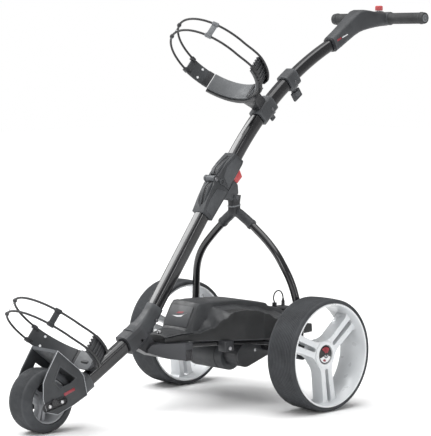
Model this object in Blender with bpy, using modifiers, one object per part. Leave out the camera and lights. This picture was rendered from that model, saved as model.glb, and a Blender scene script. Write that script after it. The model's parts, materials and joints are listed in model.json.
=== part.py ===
"""Electric golf trolley with a folding frame, a powered rear axle and two bag cradles.

Metres, +Z up, the trolley travels towards -Y and +X is its left side. Lengths along Y are
measured from the rear axle, and the empty "trolley" moves them to the middle of the footprint.
"""

import math

import bmesh
import bpy
from mathutils import Matrix, Vector

# Fits
GAP = 0.0003
RUNNING = 0.00005

# Rear wheels and drive axle
AXLE_Z = 0.136
REAR_R = 0.136
REAR_TYRE_W = 0.088
TRACK_HALF = 0.251
REAR_RIM_R = 0.1255
SPOKE_FACE_X = 0.272
SPOKE_DEPTH = 0.030
AXLE_R = 0.006
AXLE_HALF = 0.262
BEARING_X = 0.188

# Front wheel
FRONT_Y = -0.650
FRONT_R = 0.0735
FRONT_TYRE_W = 0.072
FRONT_RIM_R = 0.051
FRONT_BOLT_R = 0.005
CHEEK_X = 0.0445
CHEEK_T = 0.004

# Frame tubes: a rounded rectangle, wider in depth than across
TUBE_W = 0.030
TUBE_D = 0.034
TUBE_WALL = 0.002
BEND = Vector((-0.3385, 0.207))
BEND_R = 0.20
FRONT_SLOPE = math.radians(30.4)
REAR_SLOPE = math.radians(53.5)
ARC_CENTRE = Vector((0.676, 0.0604))
ARC_R = 0.8966

# Frame hinge: s runs up the tube, h stands towards the bag side
HINGE = Vector((-0.094, 0.532))
HINGE_SLOPE = math.radians(52.5)
PIVOT_H = 0.032
KNUCKLE_R = 0.013

# Handle
TBAR = Vector((0.491, 0.945))
TBAR_HALF = 0.160
GRIP_R = 0.0145
CROSS_R = 0.0175
DIAL_R = 0.010

# Bag cradles: centre (y, z) of the strap hoops, slope of the bag, hoop radii across and up,
# and where round the hoops the clip sits
UPPER_BAG = (Vector((-0.0955, 0.839)), math.radians(48.5), 0.117, 0.129, math.radians(57))
LOWER_BAG = (Vector((-0.604, 0.2175)), math.radians(51.4), 0.110, 0.126, math.radians(44))
CORD_R = 0.002
CORD_SPREAD = 0.018
HOOP_STEPS = 22

# Drive train: two equal steps of 10 to 30 teeth in a line from the axle to the motor
MODULE = 0.0016
PINION_TEETH = 10
GEAR_TEETH = 30
REACH = MODULE * (PINION_TEETH + GEAR_TEETH) / 2 + 0.00005
DRIVE_DROP = math.radians(17.2)
STAGE = -REACH * Vector((math.cos(DRIVE_DROP), math.sin(DRIVE_DROP)))
IDLER = Vector((0.0, AXLE_Z)) + STAGE
MOTOR = Vector((0.0, AXLE_Z)) + STAGE * 2
MOTOR_R = 0.036
MOTOR_LENGTH = 0.120
GEAR_W = 0.008
GEARBOX_X = (0.0150, 0.0650)
GEARBOX_R = 0.030

# Footprint: from the front tyre to the handle's cross tube
ORIGIN_Y = (FRONT_R - FRONT_Y - TBAR.x - CROSS_R) / 2.0

for old in list(bpy.data.objects):
    bpy.data.objects.remove(old, do_unlink=True)

parts = bpy.data.collections.new("electric_golf_trolley")
cutters = bpy.data.collections.new("cutters")
bpy.context.scene.collection.children.link(parts)
bpy.context.scene.collection.children.link(cutters)


# ---------------------------------------------------------------- materials
def material(name, color, roughness, metallic=0.0):
    made = bpy.data.materials.new(name)
    made.use_nodes = True
    shader = made.node_tree.nodes["Principled BSDF"]
    shader.inputs["Base Color"].default_value = (*color, 1.0)
    shader.inputs["Roughness"].default_value = roughness
    shader.inputs["Metallic"].default_value = metallic
    return made


COLOURS = {
    "gloss_black": ((0.008, 0.008, 0.009), 0.12, 0.0),
    "moulded_grey": ((0.035, 0.037, 0.040), 0.55, 0.0),
    "cover_black": ((0.015, 0.015, 0.016), 0.30, 0.0),
    "tyre": ((0.030, 0.031, 0.033), 0.75, 0.0),
    "rim_silver": ((0.62, 0.64, 0.66), 0.30, 0.6),
    "rim_grey": ((0.22, 0.23, 0.24), 0.40, 0.3),
    "grip": ((0.020, 0.021, 0.022), 0.70, 0.0),
    "red": ((0.60, 0.03, 0.03), 0.40, 0.0),
    "cord": ((0.012, 0.012, 0.013), 0.50, 0.0),
    "steel": ((0.55, 0.55, 0.56), 0.30, 1.0),
    "cap_black": ((0.02, 0.02, 0.02), 0.25, 0.0),
    "battery": ((0.05, 0.05, 0.06), 0.50, 0.0),
}


# ---------------------------------------------------------------- frames and bodies
def side_frame(at, slope=0.0, x=0.0):
    """Local X runs along the slope, local Y stands off it and local Z points to the left (+X)."""
    along = (0.0, math.cos(slope), math.sin(slope))
    off = (0.0, -math.sin(slope), math.cos(slope))
    turn = Matrix((along, off, (1.0, 0.0, 0.0))).transposed().to_4x4()
    return Matrix.Translation((x, at[0], at[1])) @ turn


def cross_frame(at, slope):
    """Local X is the trolley's left, local Y stands off the slope, local Z points down the slope."""
    return Matrix.Translation((0.0, at[0], at[1])) @ Matrix.Rotation(math.pi / 2 + slope, 4, "X")


def on_slope(at, slope, along, off):
    return Vector((
        at[0] + along * math.cos(slope) - off * math.sin(slope),
        at[1] + along * math.sin(slope) + off * math.cos(slope),
    ))


def empty(name, at, parent=None):
    made = bpy.data.objects.new(name, None)
    parts.objects.link(made)
    made.matrix_world = Matrix.Translation(at)
    if parent:
        made.parent = parent
        made.matrix_parent_inverse = parent.matrix_world.inverted()
    return made


def node(made, name, colour, joint):
    """Name a finished piece, give it its own material and hang it on its joint's empty."""
    made.name = name
    made.data.name = name
    made.data.materials.clear()
    made.data.materials.append(material(name, *COLOURS[colour]))
    if made.type == "MESH":
        made.data.shade_smooth()
        made.data.set_sharp_from_angle(angle=math.radians(35))
    bpy.context.view_layer.update()
    world = made.matrix_world.copy()
    made.parent = joint
    made.matrix_parent_inverse = joint.matrix_world.inverted()
    made.matrix_world = world
    return made


# ---------------------------------------------------------------- shapes
def shape(bm, frame):
    mesh = bpy.data.meshes.new("shape")
    bm.to_mesh(mesh)
    bm.free()
    made = bpy.data.objects.new("shape", mesh)
    parts.objects.link(made)
    made.matrix_world = frame
    return made


def bevel(made, width, segments=1):
    if width:
        edge = made.modifiers.new("edge", "BEVEL")
        edge.width = width
        edge.segments = segments
        edge.limit_method = "ANGLE"
        edge.angle_limit = math.radians(40)
    return made


def block(size, frame, edge=0.0):
    bm = bmesh.new()
    bmesh.ops.create_cube(bm, size=1.0, matrix=Matrix.Diagonal((*size, 1.0)))
    return bevel(shape(bm, frame), edge)


def rod(radius, x0, x1, at, segments=32, edge=0.0):
    """A cylinder across the trolley, from x0 to x1, centred on at = (y, z)."""
    bm = bmesh.new()
    bmesh.ops.create_cone(
        bm, cap_ends=True, segments=segments, radius1=radius, radius2=radius, depth=abs(x1 - x0)
    )
    return bevel(shape(bm, side_frame(at, 0.0, (x0 + x1) / 2)), edge)


def turned(profile, frame, steps):
    """Spin a closed (radius, height) profile about local Z; an edge on the axis is left out."""
    mesh = bpy.data.meshes.new("turned")
    edges = [(i, (i + 1) % len(profile)) for i in range(len(profile))]
    edges = [(a, b) for a, b in edges if profile[a][0] or profile[b][0]]
    mesh.from_pydata([(r, 0.0, z) for r, z in profile], edges, [])
    made = bpy.data.objects.new("turned", mesh)
    parts.objects.link(made)
    made.matrix_world = frame
    spin = made.modifiers.new("spin", "SCREW")
    spin.steps = steps
    spin.render_steps = steps
    spin.use_merge_vertices = True
    spin.merge_threshold = 0.00001
    return made


def mirrored(half):
    """A closed loop from its +X half, listed from one end to the other."""
    return [*half, *[(-x, y) for x, y in reversed(half)]]


def as_mesh(made):
    """Turn a curve or a modified object into a plain closed mesh object."""
    bpy.context.view_layer.update()
    graph = bpy.context.evaluated_depsgraph_get()
    mesh = bpy.data.meshes.new_from_object(made.evaluated_get(graph))
    bm = bmesh.new()
    bm.from_mesh(mesh)
    bmesh.ops.remove_doubles(bm, verts=bm.verts, dist=0.000005)
    bmesh.ops.recalc_face_normals(bm, faces=bm.faces)
    bm.to_mesh(mesh)
    bm.free()
    solid = bpy.data.objects.new("solid", mesh)
    parts.objects.link(solid)
    solid.matrix_world = made.matrix_world.copy()
    bpy.data.objects.remove(made)
    return solid


def outline(loops, thickness, frame, edge=0.0):
    """Extrude flat closed loops (the first is the rim, the others are holes) along local Z."""
    curve = bpy.data.curves.new("outline", "CURVE")
    curve.dimensions = "2D"
    curve.fill_mode = "BOTH"
    curve.extrude = thickness / 2
    for loop in loops:
        spline = curve.splines.new("POLY")
        spline.points.add(len(loop) - 1)
        for point, (a, b) in zip(spline.points, loop):
            point.co = (a, b, 0.0, 1.0)
        spline.use_cyclic_u = True
    made = bpy.data.objects.new("outline", curve)
    parts.objects.link(made)
    made.matrix_world = frame
    return bevel(as_mesh(made), edge)


def wire(points, radius, resolution=2):
    """A round bar through 3-D points."""
    curve = bpy.data.curves.new("wire", "CURVE")
    curve.dimensions = "3D"
    curve.bevel_depth = radius
    curve.bevel_resolution = resolution
    curve.use_fill_caps = True
    spline = curve.splines.new("POLY")
    spline.points.add(len(points) - 1)
    for point, place in zip(spline.points, points):
        point.co = (*place, 1.0)
    made = bpy.data.objects.new("wire", curve)
    parts.objects.link(made)
    return as_mesh(made)


def rounded(width, depth, corner, steps=2):
    """Corner-rounded rectangle, depth along the first axis and width along the second."""
    loop = []
    for quarter, (sx, sy) in enumerate(((1, 1), (-1, 1), (-1, -1), (1, -1))):
        cx = sx * (depth / 2 - corner)
        cy = sy * (width / 2 - corner)
        for step in range(steps + 1):
            angle = math.pi / 2 * (quarter + step / steps)
            loop.append((cx + corner * math.cos(angle), cy + corner * math.sin(angle)))
    return loop


def swept(path, width, depth, corner=0.008, hollow=0.0):
    """Sweep a rounded rectangle along a (y, z) path in the middle plane."""
    guide = bpy.data.curves.new("section", "CURVE")
    guide.dimensions = "2D"
    guide.fill_mode = "NONE"
    loop = rounded(width, depth, corner)
    spline = guide.splines.new("POLY")
    spline.points.add(len(loop) - 1)
    for point, (a, b) in zip(spline.points, loop):
        point.co = (a, b, 0.0, 1.0)
    spline.use_cyclic_u = True
    section = bpy.data.objects.new("section", guide)
    parts.objects.link(section)
    curve = bpy.data.curves.new("sweep", "CURVE")
    curve.dimensions = "2D"
    curve.fill_mode = "NONE"
    curve.bevel_mode = "OBJECT"
    curve.bevel_object = section
    curve.use_fill_caps = not hollow
    spline = curve.splines.new("POLY")
    spline.points.add(len(path) - 1)
    for point, (a, b) in zip(spline.points, path):
        point.co = (a, b, 0.0, 1.0)
    made = bpy.data.objects.new("sweep", curve)
    parts.objects.link(made)
    made.matrix_world = side_frame((0.0, 0.0))
    made = as_mesh(made)
    bpy.data.objects.remove(section)
    if hollow:
        shell = made.modifiers.new("wall", "SOLIDIFY")
        shell.thickness = hollow
        shell.offset = -1.0
        shell.use_even_offset = True
    return made


def combine(base, tool, operation):
    """Boolean with a tool that is then kept as a wire cutter."""
    for collection in list(tool.users_collection):
        collection.objects.unlink(tool)
    cutters.objects.link(tool)
    tool.hide_render = True
    tool.display_type = "WIRE"
    change = base.modifiers.new(operation.lower(), "BOOLEAN")
    change.operation = operation
    change.object = tool
    return base


def cut(base, *tools):
    for tool in tools:
        combine(base, tool, "DIFFERENCE")
    return base


def join(base, *tools):
    for tool in tools:
        combine(base, tool, "UNION")
    return base


def arc(centre, radius, start, end, steps):
    """Points on an arc, angles in degrees."""
    return [
        (
            centre[0] + radius * math.cos(math.radians(start + (end - start) * i / steps)),
            centre[1] + radius * math.sin(math.radians(start + (end - start) * i / steps)),
        )
        for i in range(steps + 1)
    ]


def smooth(points, steps):
    """Catmull-Rom points through a few places of a bent tube or cord."""
    ends = [points[0] * 2 - points[1], *points, points[-1] * 2 - points[-2]]
    line = []
    for i in range(1, len(ends) - 2):
        a, b, c, d = ends[i - 1:i + 3]
        for step in range(steps):
            t = step / steps
            line.append(0.5 * (2 * b + (c - a) * t + (2 * a - 5 * b + 4 * c - d) * t ** 2
                               + (3 * b - a - 3 * c + d) * t ** 3))
    line.append(points[-1])
    return line


def bored(radius, segments=32):
    """Circumradius of a faceted bore that clears a faceted shaft of this radius."""
    return (radius + RUNNING) / math.cos(math.pi / segments)


# ---------------------------------------------------------------- tube lines
def lower_path(start, end):
    """Centre line of the lower tube: a length ahead of the bend, the bend, a length behind it."""
    reach = BEND_R * math.tan((REAR_SLOPE - FRONT_SLOPE) / 2)
    front = BEND - reach * Vector((math.cos(FRONT_SLOPE), math.sin(FRONT_SLOPE)))
    centre = front + BEND_R * Vector((-math.sin(FRONT_SLOPE), math.cos(FRONT_SLOPE)))
    turn = (math.degrees(FRONT_SLOPE) - 90, math.degrees(REAR_SLOPE) - 90)
    path = [BEND - start * Vector((math.cos(FRONT_SLOPE), math.sin(FRONT_SLOPE)))]
    path += [Vector(p) for p in arc(centre, BEND_R, *turn, 6)]
    path.append(BEND + end * Vector((math.cos(REAR_SLOPE), math.sin(REAR_SLOPE))))
    return path


def upper_point(slope_degrees, off=0.0):
    slope = math.radians(slope_degrees)
    return ARC_CENTRE + (ARC_R + off) * Vector((-math.sin(slope), math.cos(slope)))


def upper_path(start, end, steps):
    return [upper_point(start + (end - start) * i / steps) for i in range(steps + 1)]


def hinge_point(along, off):
    return on_slope(HINGE, HINGE_SLOPE, along, off)


PIVOT = hinge_point(0.0, PIVOT_H)
LOWER_TUBE = (0.236, 0.400)
UPPER_TUBE = (55.0, 35.2)
HANDLE_TUBE = (45.5, 22.6)
COLLAR_SLOPE = 35.75
CLAMP_SLOPE = 42.6
KNOB_AT = upper_point(COLLAR_SLOPE, -0.0268)
CRADLE_KNOB_AT = upper_point(CLAMP_SLOPE, -0.0268)
CATCH_AT = hinge_point(0.0400, -0.0300)

# ---------------------------------------------------------------- joints' empties
trolley = empty("trolley", (0.0, 0.0, 0.0))
front_spin = empty("front_wheel_axis", (0.0, FRONT_Y, FRONT_R), trolley)
fold = empty("frame_fold_axis", (0.0, *PIVOT), trolley)
catch_axis = empty("latch_axis", (0.0, *CATCH_AT), trolley)
cradle_knob_axis = empty("cradle_knob_axis", (0.0, *CRADLE_KNOB_AT), fold)
height_knob_axis = empty("height_knob_axis", (0.0, *KNOB_AT), fold)
height = empty("handle_height_axis", (0.0, *ARC_CENTRE), fold)
dial_push = empty("dial_push_axis", (0.0, TBAR.x, TBAR.y), height)
dial_turn = empty("dial_turn_axis", (0.0, TBAR.x, TBAR.y), dial_push)
axle_spin = empty("axle_axis", (0.0, 0.0, AXLE_Z), trolley)


# ---------------------------------------------------------------- wheels
def tyre(outer, inner, width, shoulder, frame, steps):
    half = width / 2
    crown = [(outer - shoulder + shoulder * math.cos(a), half - shoulder + shoulder * math.sin(a))
             for a in (math.pi / 2, math.pi / 4, 0.0)]
    profile = [(inner, half - 0.002), *crown]
    profile += [(r, -w) for r, w in reversed(profile)]
    return turned(profile, frame, steps)


def rim(radius, half, wall, lip, frame, steps):
    """A drum whose bore flares to a thin lip on both sides."""
    inner = radius - wall
    profile = [
        (radius, half), (radius, -half), (radius - lip, -half),
        (inner, -half * 0.55), (inner, half * 0.55), (radius - lip, half),
    ]
    return turned(profile, frame, steps)


def spokes(hub, reach, first, slot, depth, frame):
    """A hub disc with three double spokes, each split by a long slot."""
    loop = []
    holes = []
    for i in range(3):
        angle = first + i * 2 * math.pi / 3
        turn = Matrix.Rotation(angle, 2)
        for a, b in ((hub * 0.86, -0.52), (reach, -0.62), (reach, 0.62), (hub * 0.86, 0.52)):
            loop.append(tuple(turn @ Vector((a, hub * b))))
        for step in (1, 2):
            side = angle + math.radians(31 + step * 58 / 3)
            loop.append((hub * math.cos(side), hub * math.sin(side)))
        holes.append([tuple(turn @ Vector(p)) for p in (
            (hub * 1.15, -slot / 2), (reach - slot * 1.6, -slot / 2),
            (reach - slot * 1.6, slot / 2), (hub * 1.15, slot / 2))])
    return outline([loop, *holes], depth, frame)


def rear_wheel(side, label):
    joint = empty(f"{label}_wheel_axis", (side * TRACK_HALF, 0.0, AXLE_Z), trolley)
    middle = side_frame((0.0, AXLE_Z), 0.0, side * TRACK_HALF)
    rubber = tyre(REAR_R, REAR_RIM_R + GAP, REAR_TYRE_W, 0.010, middle, 40)
    node(rubber, f"{label}_tyre", "tyre", joint)
    drum = rim(REAR_RIM_R, 0.040, 0.006, 0.002, middle, 40)
    face = side_frame((0.0, AXLE_Z), 0.0, side * (SPOKE_FACE_X - SPOKE_DEPTH / 2))
    first = math.radians(38)
    spider = spokes(0.034, REAR_RIM_R - 0.003, first, 0.012, SPOKE_DEPTH, face)
    barrel = rod(0.016, side * 0.214, side * 0.245, (0.0, AXLE_Z))
    bore = rod(bored(AXLE_R), side * 0.20, side * (AXLE_HALF + 0.001), (0.0, AXLE_Z))
    pocket = rod(0.0225, side * (AXLE_HALF + 0.0007), side * 0.28, (0.0, AXLE_Z), 40)
    cut(join(drum, spider, barrel), bore, pocket)
    node(as_mesh(drum), f"{label}_rim", "rim_silver", joint)
    press = empty(f"{label}_button_axis", (side * SPOKE_FACE_X, 0.0, AXLE_Z), joint)
    cap = rod(0.0220, side * (AXLE_HALF + 0.0045), side * (SPOKE_FACE_X + 0.004), (0.0, AXLE_Z), 40, 0.0015)
    node(cap, f"{label}_release_button", "cap_black", press)


def front_wheel():
    middle = side_frame((FRONT_Y, FRONT_R))
    rubber = tyre(FRONT_R, FRONT_RIM_R + GAP, FRONT_TYRE_W, 0.016, middle, 32)
    node(rubber, "front_tyre", "tyre", front_spin)
    drum = rim(FRONT_RIM_R, 0.030, 0.004, 0.0015, middle, 32)
    spider = spokes(0.017, FRONT_RIM_R - 0.002, math.radians(20), 0.004, 0.016, middle)
    barrel = rod(0.011, -0.036, 0.036, (FRONT_Y, FRONT_R), 24)
    bore = rod(bored(FRONT_BOLT_R, 24), -0.05, 0.05, (FRONT_Y, FRONT_R), 24)
    cut(join(drum, spider, barrel), bore)
    node(as_mesh(drum), "front_rim", "rim_grey", front_spin)


# ---------------------------------------------------------------- front fork
CHEEK = ((-0.638, 0.191), (-0.576, 0.141), (-0.562, 0.124), (-0.552, 0.078), (-0.593, 0.060),
         (-0.639, 0.044), (-0.671, 0.053), (-0.681, 0.084), (-0.680, 0.122), (-0.670, 0.142))
WINDOW = ((-0.631, 0.152), (-0.588, 0.122), (-0.601, 0.112), (-0.631, 0.105), (-0.647, 0.120))


def fork():
    for side, label in ((1, "left"), (-1, "right")):
        plate = outline([CHEEK, WINDOW], CHEEK_T, side_frame((0, 0), 0.0, side * CHEEK_X), 0.0006)
        hole = rod(FRONT_BOLT_R + GAP, side * 0.04, side * 0.05, (FRONT_Y, FRONT_R), 24)
        node(as_mesh(cut(plate, hole)), f"fork_cheek_{label}", "moulded_grey", trolley)
    inner = CHEEK_X - CHEEK_T / 2 - GAP
    roof = [CHEEK[0], CHEEK[1], CHEEK[2], CHEEK[3], (-0.557, 0.076), (-0.568, 0.121), (-0.579, 0.136),
            (-0.640, 0.184)]
    bridge = outline([roof], inner * 2, side_frame((0, 0)))
    socket = swept([on_slope(BEND, FRONT_SLOPE, -along, 0.0) for along in (0.2500, 0.2040)],
                   TUBE_W + 0.008, TUBE_D + 0.008, 0.010)
    tube = swept(longer(lower_path(*LOWER_TUBE), GAP), TUBE_W + 2 * GAP, TUBE_D + 2 * GAP)
    node(as_mesh(cut(join(bridge, socket), tube)), "fork_bridge", "moulded_grey", trolley)
    bolt = rod(FRONT_BOLT_R, -0.0485, 0.0485, (FRONT_Y, FRONT_R), 24)
    heads = [rod(0.0085, side * (CHEEK_X + CHEEK_T / 2 + GAP), side * 0.0525, (FRONT_Y, FRONT_R), 6)
             for side in (1, -1)]
    node(as_mesh(join(bolt, *heads)), "front_axle_bolt", "steel", trolley)


# ---------------------------------------------------------------- frame tubes
def sleeve(path, wall, corner=0.009):
    """A collar round the tube along a path, clear of it by the gap."""
    outside = swept(path, TUBE_W + 2 * wall, TUBE_D + 2 * wall, corner)
    return cut(outside, swept(longer(path), TUBE_W + 2 * GAP, TUBE_D + 2 * GAP))


def longer(path, extra=0.01):
    first, second = Vector(path[0]), Vector(path[1])
    last, before = Vector(path[-1]), Vector(path[-2])
    return [first + (first - second).normalized() * extra, *path, last + (last - before).normalized() * extra]


def frame_tubes():
    lower = swept(lower_path(*LOWER_TUBE), TUBE_W, TUBE_D, hollow=TUBE_WALL)
    node(lower, "lower_tube", "gloss_black", trolley)
    upper = swept(upper_path(*UPPER_TUBE, 9), TUBE_W, TUBE_D, hollow=TUBE_WALL)
    node(upper, "upper_tube", "gloss_black", fold)
    slim = 2 * (TUBE_WALL + 2 * GAP)
    handle = swept(upper_path(*HANDLE_TUBE, 9), TUBE_W - slim, TUBE_D - slim, 0.0055, TUBE_WALL)
    node(handle, "handle_tube", "gloss_black", height)


# ---------------------------------------------------------------- frame hinge and latch
def hinge():
    at = side_frame(HINGE, HINGE_SLOPE)
    low = [(-0.090, -0.0180), (-0.030, -0.0203), (-GAP, -0.0203), (-GAP, 0.0303), (-0.0140, 0.0303),
           (-0.090, 0.0213)]
    body = outline([low], 0.038, at, 0.0015)
    ear = rod(KNUCKLE_R, -0.0120, 0.0120, PIVOT)
    relief = [rod(KNUCKLE_R + 0.001, side * 0.0122, side * 0.03, PIVOT) for side in (1, -1)]
    tube = swept(longer(lower_path(*LOWER_TUBE), 0.004), TUBE_W + 2 * GAP, TUBE_D + 2 * GAP)
    pin_hole = rod(bored(0.004, 24), -0.02, 0.02, PIVOT, 24)
    cut(body, tube, *relief)
    join(body, ear)
    node(as_mesh(cut(body, pin_hole)), "hinge_lower", "moulded_grey", trolley)

    high = [(GAP, -0.0195), (0.088, -0.0212), (0.088, 0.0190), (0.050, 0.0280), (0.0140, 0.0303),
            (GAP, 0.0303)]
    body = outline([high], 0.038, at, 0.0015)
    ears = [rod(KNUCKLE_R, side * 0.0124, side * 0.0250, PIVOT) for side in (1, -1)]
    relief = rod(KNUCKLE_R + 0.001, -0.0124, 0.0124, PIVOT)
    tube = swept(upper_path(UPPER_TUBE[0] + 0.02, UPPER_TUBE[1], 9), TUBE_W + 2 * GAP, TUBE_D + 2 * GAP)
    pin_hole = rod(bored(0.004, 24), -0.04, 0.04, PIVOT, 24)
    join(body, *ears)
    node(as_mesh(cut(body, relief, tube, pin_hole)), "hinge_upper", "moulded_grey", fold)

    pin = rod(0.004, -0.0262, 0.0262, PIVOT, 24)
    heads = [rod(0.0075, side * 0.0254, side * 0.0290, PIVOT, 24) for side in (1, -1)]
    node(as_mesh(join(pin, *heads)), "hinge_pin", "steel", trolley)


def yoke():
    """The wishbone's head: latch block, neck and two sockets for the legs."""
    at = side_frame(HINGE, HINGE_SLOPE)
    wedge = [(-0.024, -0.0206), (0.0315, -0.0206), (0.0315, -0.0375), (0.014, -0.0540), (-0.012, -0.0460)]
    block_part = outline([wedge], 0.040, at, 0.002)
    neck = block((0.026, 0.028, 0.044), Matrix.Translation((0.0, -0.040, 0.486)), 0.004)
    arms = wire([Vector(p) for p in ((0.062, -0.029, 0.4265), (0.030, -0.033, 0.452), (0.0, -0.037, 0.468),
                                     (-0.030, -0.033, 0.452), (-0.062, -0.029, 0.4265))], 0.0135, 3)
    sockets = [wire(leg_line(side), LEG_R + 0.0005, 3) for side in (1, -1)]
    node(as_mesh(cut(join(arms, neck, block_part), *sockets)), "wishbone_yoke", "moulded_grey", trolley)


LEG = ((0.040, -0.0310, 0.443), (0.062, -0.028, 0.4265), (0.096, -0.024, 0.400), (0.128, -0.022, 0.370),
       (0.150, -0.019, 0.340), (0.165, -0.013, 0.310), (0.175, -0.006, 0.275), (0.182, -0.001, 0.235),
       (0.187, 0.0, 0.200), (BEARING_X, 0.0, 0.164))
LEG_R = 0.0095


def leg_line(side):
    return smooth([Vector((side * x, y, z)) for x, y, z in LEG], 2)


def wishbone():
    for side, label in ((1, "left"), (-1, "right")):
        node(wire(leg_line(side), LEG_R, 3), f"wishbone_leg_{label}", "gloss_black", trolley)


def catch():
    """Red lever hooked over the upper casing's rear edge; it rocks on a pin in the latch block."""
    at = side_frame(HINGE, HINGE_SLOPE)
    lever = [(0.0345, -0.0218), (0.064, -0.0222), (0.0605, -0.0400), (0.0345, -0.0385)]
    node(outline([lever], 0.022, at, 0.0015), "latch_catch", "red", catch_axis)


# ---------------------------------------------------------------- chassis
def chassis_node():
    """Casting clamped round the lower tube, from which the two rails run back to the axle."""
    plan = mirrored([(0.0210, -0.3450), (0.0620, -0.2620), (0.0620, -0.2380)])
    body = outline([plan], 0.090, Matrix.Translation((0.0, 0.0, 0.1445)))
    side = outline([((-0.3500, 0.1510), (-0.3000, 0.1320), (-0.2580, 0.1250), (-0.2200, 0.1270),
                     (-0.2200, 0.1675), (-0.3350, 0.1675))], 0.200, side_frame((0, 0)))
    grip = [on_slope(BEND, FRONT_SLOPE, -0.072, 0.0), *lower_path(*LOWER_TUBE)[1:4]]
    collar = swept(grip, 0.044, 0.048, 0.010)
    web = outline([((-0.3780, 0.1660), (-0.3450, 0.1480), (-0.2900, 0.1360), (-0.2900, 0.1630),
                    (-0.3220, 0.1730), (-0.3360, 0.1960), (-0.3520, 0.1960))], 0.034, side_frame((0, 0)))
    windows = [block((0.022, 0.060, 0.022), Matrix.Translation((side_x, -0.245, 0.1460)))
               for side_x in (0.036, -0.036)]
    tube = swept(lower_path(*LOWER_TUBE), TUBE_W + 2 * GAP, TUBE_D + 2 * GAP)
    casting = as_mesh(join(combine(body, side, "INTERSECT"), web, collar))
    node(as_mesh(cut(casting, *windows, tube)), "chassis_node", "moulded_grey", trolley)


RAIL = ((0.056, -0.2355, 0.1600), (0.090, -0.158, 0.1600), (0.122, -0.080, 0.1570), (0.152, -0.030, 0.1500),
        (BEARING_X - 0.0150, -0.014, 0.1460))


def rails():
    for side, label in ((1, "left"), (-1, "right")):
        line = smooth([Vector((side * x, y, z)) for x, y, z in RAIL], 3)
        node(wire(line, 0.005), f"chassis_rail_{label}", "gloss_black", trolley)


def bearing_blocks():
    for side, label in ((1, "left"), (-1, "right")):
        loop = arc((0.0, AXLE_Z), 0.022, 200, 340, 8) + [(0.0165, 0.1632), (-0.0165, 0.1632)]
        made = outline([loop], 0.022, side_frame((0.0, 0.0), 0.0, side * BEARING_X), 0.0015)
        bore = rod(bored(AXLE_R), side * 0.17, side * 0.21, (0.0, AXLE_Z))
        node(as_mesh(cut(made, bore)), f"axle_bearing_{label}", "moulded_grey", trolley)


def axle_tubes():
    for x0, x1, label in ((-0.1767, 0.0137, "right"), (0.0663, 0.1767, "left")):
        made = rod(0.0125, x0, x1, (0.0, AXLE_Z), 28)
        bore = rod(AXLE_R + 0.003, x0 - 0.01, x1 + 0.01, (0.0, AXLE_Z), 28)
        node(as_mesh(cut(made, bore)), f"axle_tube_{label}", "gloss_black", trolley)


# ---------------------------------------------------------------- drive train
def heading(start, end):
    return math.atan2(end[1] - start[1], end[0] - start[0])


def gear_loop(teeth, phase):
    """Involute teeth with a 20 degree pressure angle and a little backlash."""
    pitch = MODULE * teeth / 2
    base = pitch * math.cos(math.radians(20))
    tip = pitch + (0.70 if teeth == GEAR_TEETH else 1.0) * MODULE
    root = pitch - 1.2 * MODULE
    inv_pitch = math.tan(math.radians(20)) - math.radians(20)
    half = math.pi / (2 * teeth) - 0.00009 / pitch
    radii = [max(root, base), tip]
    flank = []
    for radius in radii:
        press = math.acos(min(1.0, base / radius))
        flank.append((radius, half + inv_pitch - (math.tan(press) - press)))
    if root < base - MODULE / 4:
        flank.insert(0, (root, flank[0][1]))
    loop = []
    for tooth in range(teeth):
        middle = phase + tooth * 2 * math.pi / teeth
        loop += [(r * math.cos(middle - a), r * math.sin(middle - a)) for r, a in flank]
        loop += [(r * math.cos(middle + a), r * math.sin(middle + a)) for r, a in reversed(flank)]
    return loop


def gear(teeth, phase, at, x0):
    return outline([gear_loop(teeth, phase)], GEAR_W, side_frame(at, 0.0, x0 + GEAR_W / 2))


def drive_train():
    axle_at = (0.0, AXLE_Z)
    motor_spin = empty("motor_axis", (0.0, *MOTOR), trolley)
    idler_spin = empty("idler_axis", (0.0, *IDLER), trolley)
    to_idler = heading(MOTOR, IDLER)
    to_axle = heading(IDLER, axle_at)
    pinion = gear(PINION_TEETH, to_idler, MOTOR, 0.0240)
    shaft = rod(0.003, -0.100, 0.0560, MOTOR, 20)
    armature = rod(0.022, -0.090, -0.004, MOTOR, 24)
    node(as_mesh(join(shaft, pinion, armature)), "motor_shaft", "steel", motor_spin)
    wheel = gear(GEAR_TEETH, to_idler + math.pi + math.pi / GEAR_TEETH, IDLER, 0.0240)
    small = gear(PINION_TEETH, to_axle, IDLER, 0.0360)
    spindle = rod(0.004, 0.0156, 0.0640, IDLER, 20)
    filler = rod(0.0055, 0.0310, 0.0370, IDLER, 20)
    node(as_mesh(join(spindle, wheel, small, filler)), "idler_gear", "steel", idler_spin)
    output = gear(GEAR_TEETH, to_axle + math.pi + math.pi / GEAR_TEETH, axle_at, 0.0360)
    hub = rod(0.012, 0.0340, 0.0480, axle_at)
    seat = rod(AXLE_R + GAP, 0.02, 0.06, axle_at)
    node(as_mesh(cut(join(output, hub), seat)), "output_gear", "steel", axle_spin)
    node(rod(AXLE_R, -AXLE_HALF, AXLE_HALF, axle_at), "drive_axle", "steel", axle_spin)


def box_loop(radius):
    """Belt-shaped outline round the axle and the motor shaft."""
    axle = Vector((0.0, AXLE_Z))
    toward = math.degrees(heading(MOTOR, axle))
    return arc(axle, radius, toward - 90, toward + 90, 14) + arc(MOTOR, radius, toward + 90, toward + 270, 14)


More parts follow.
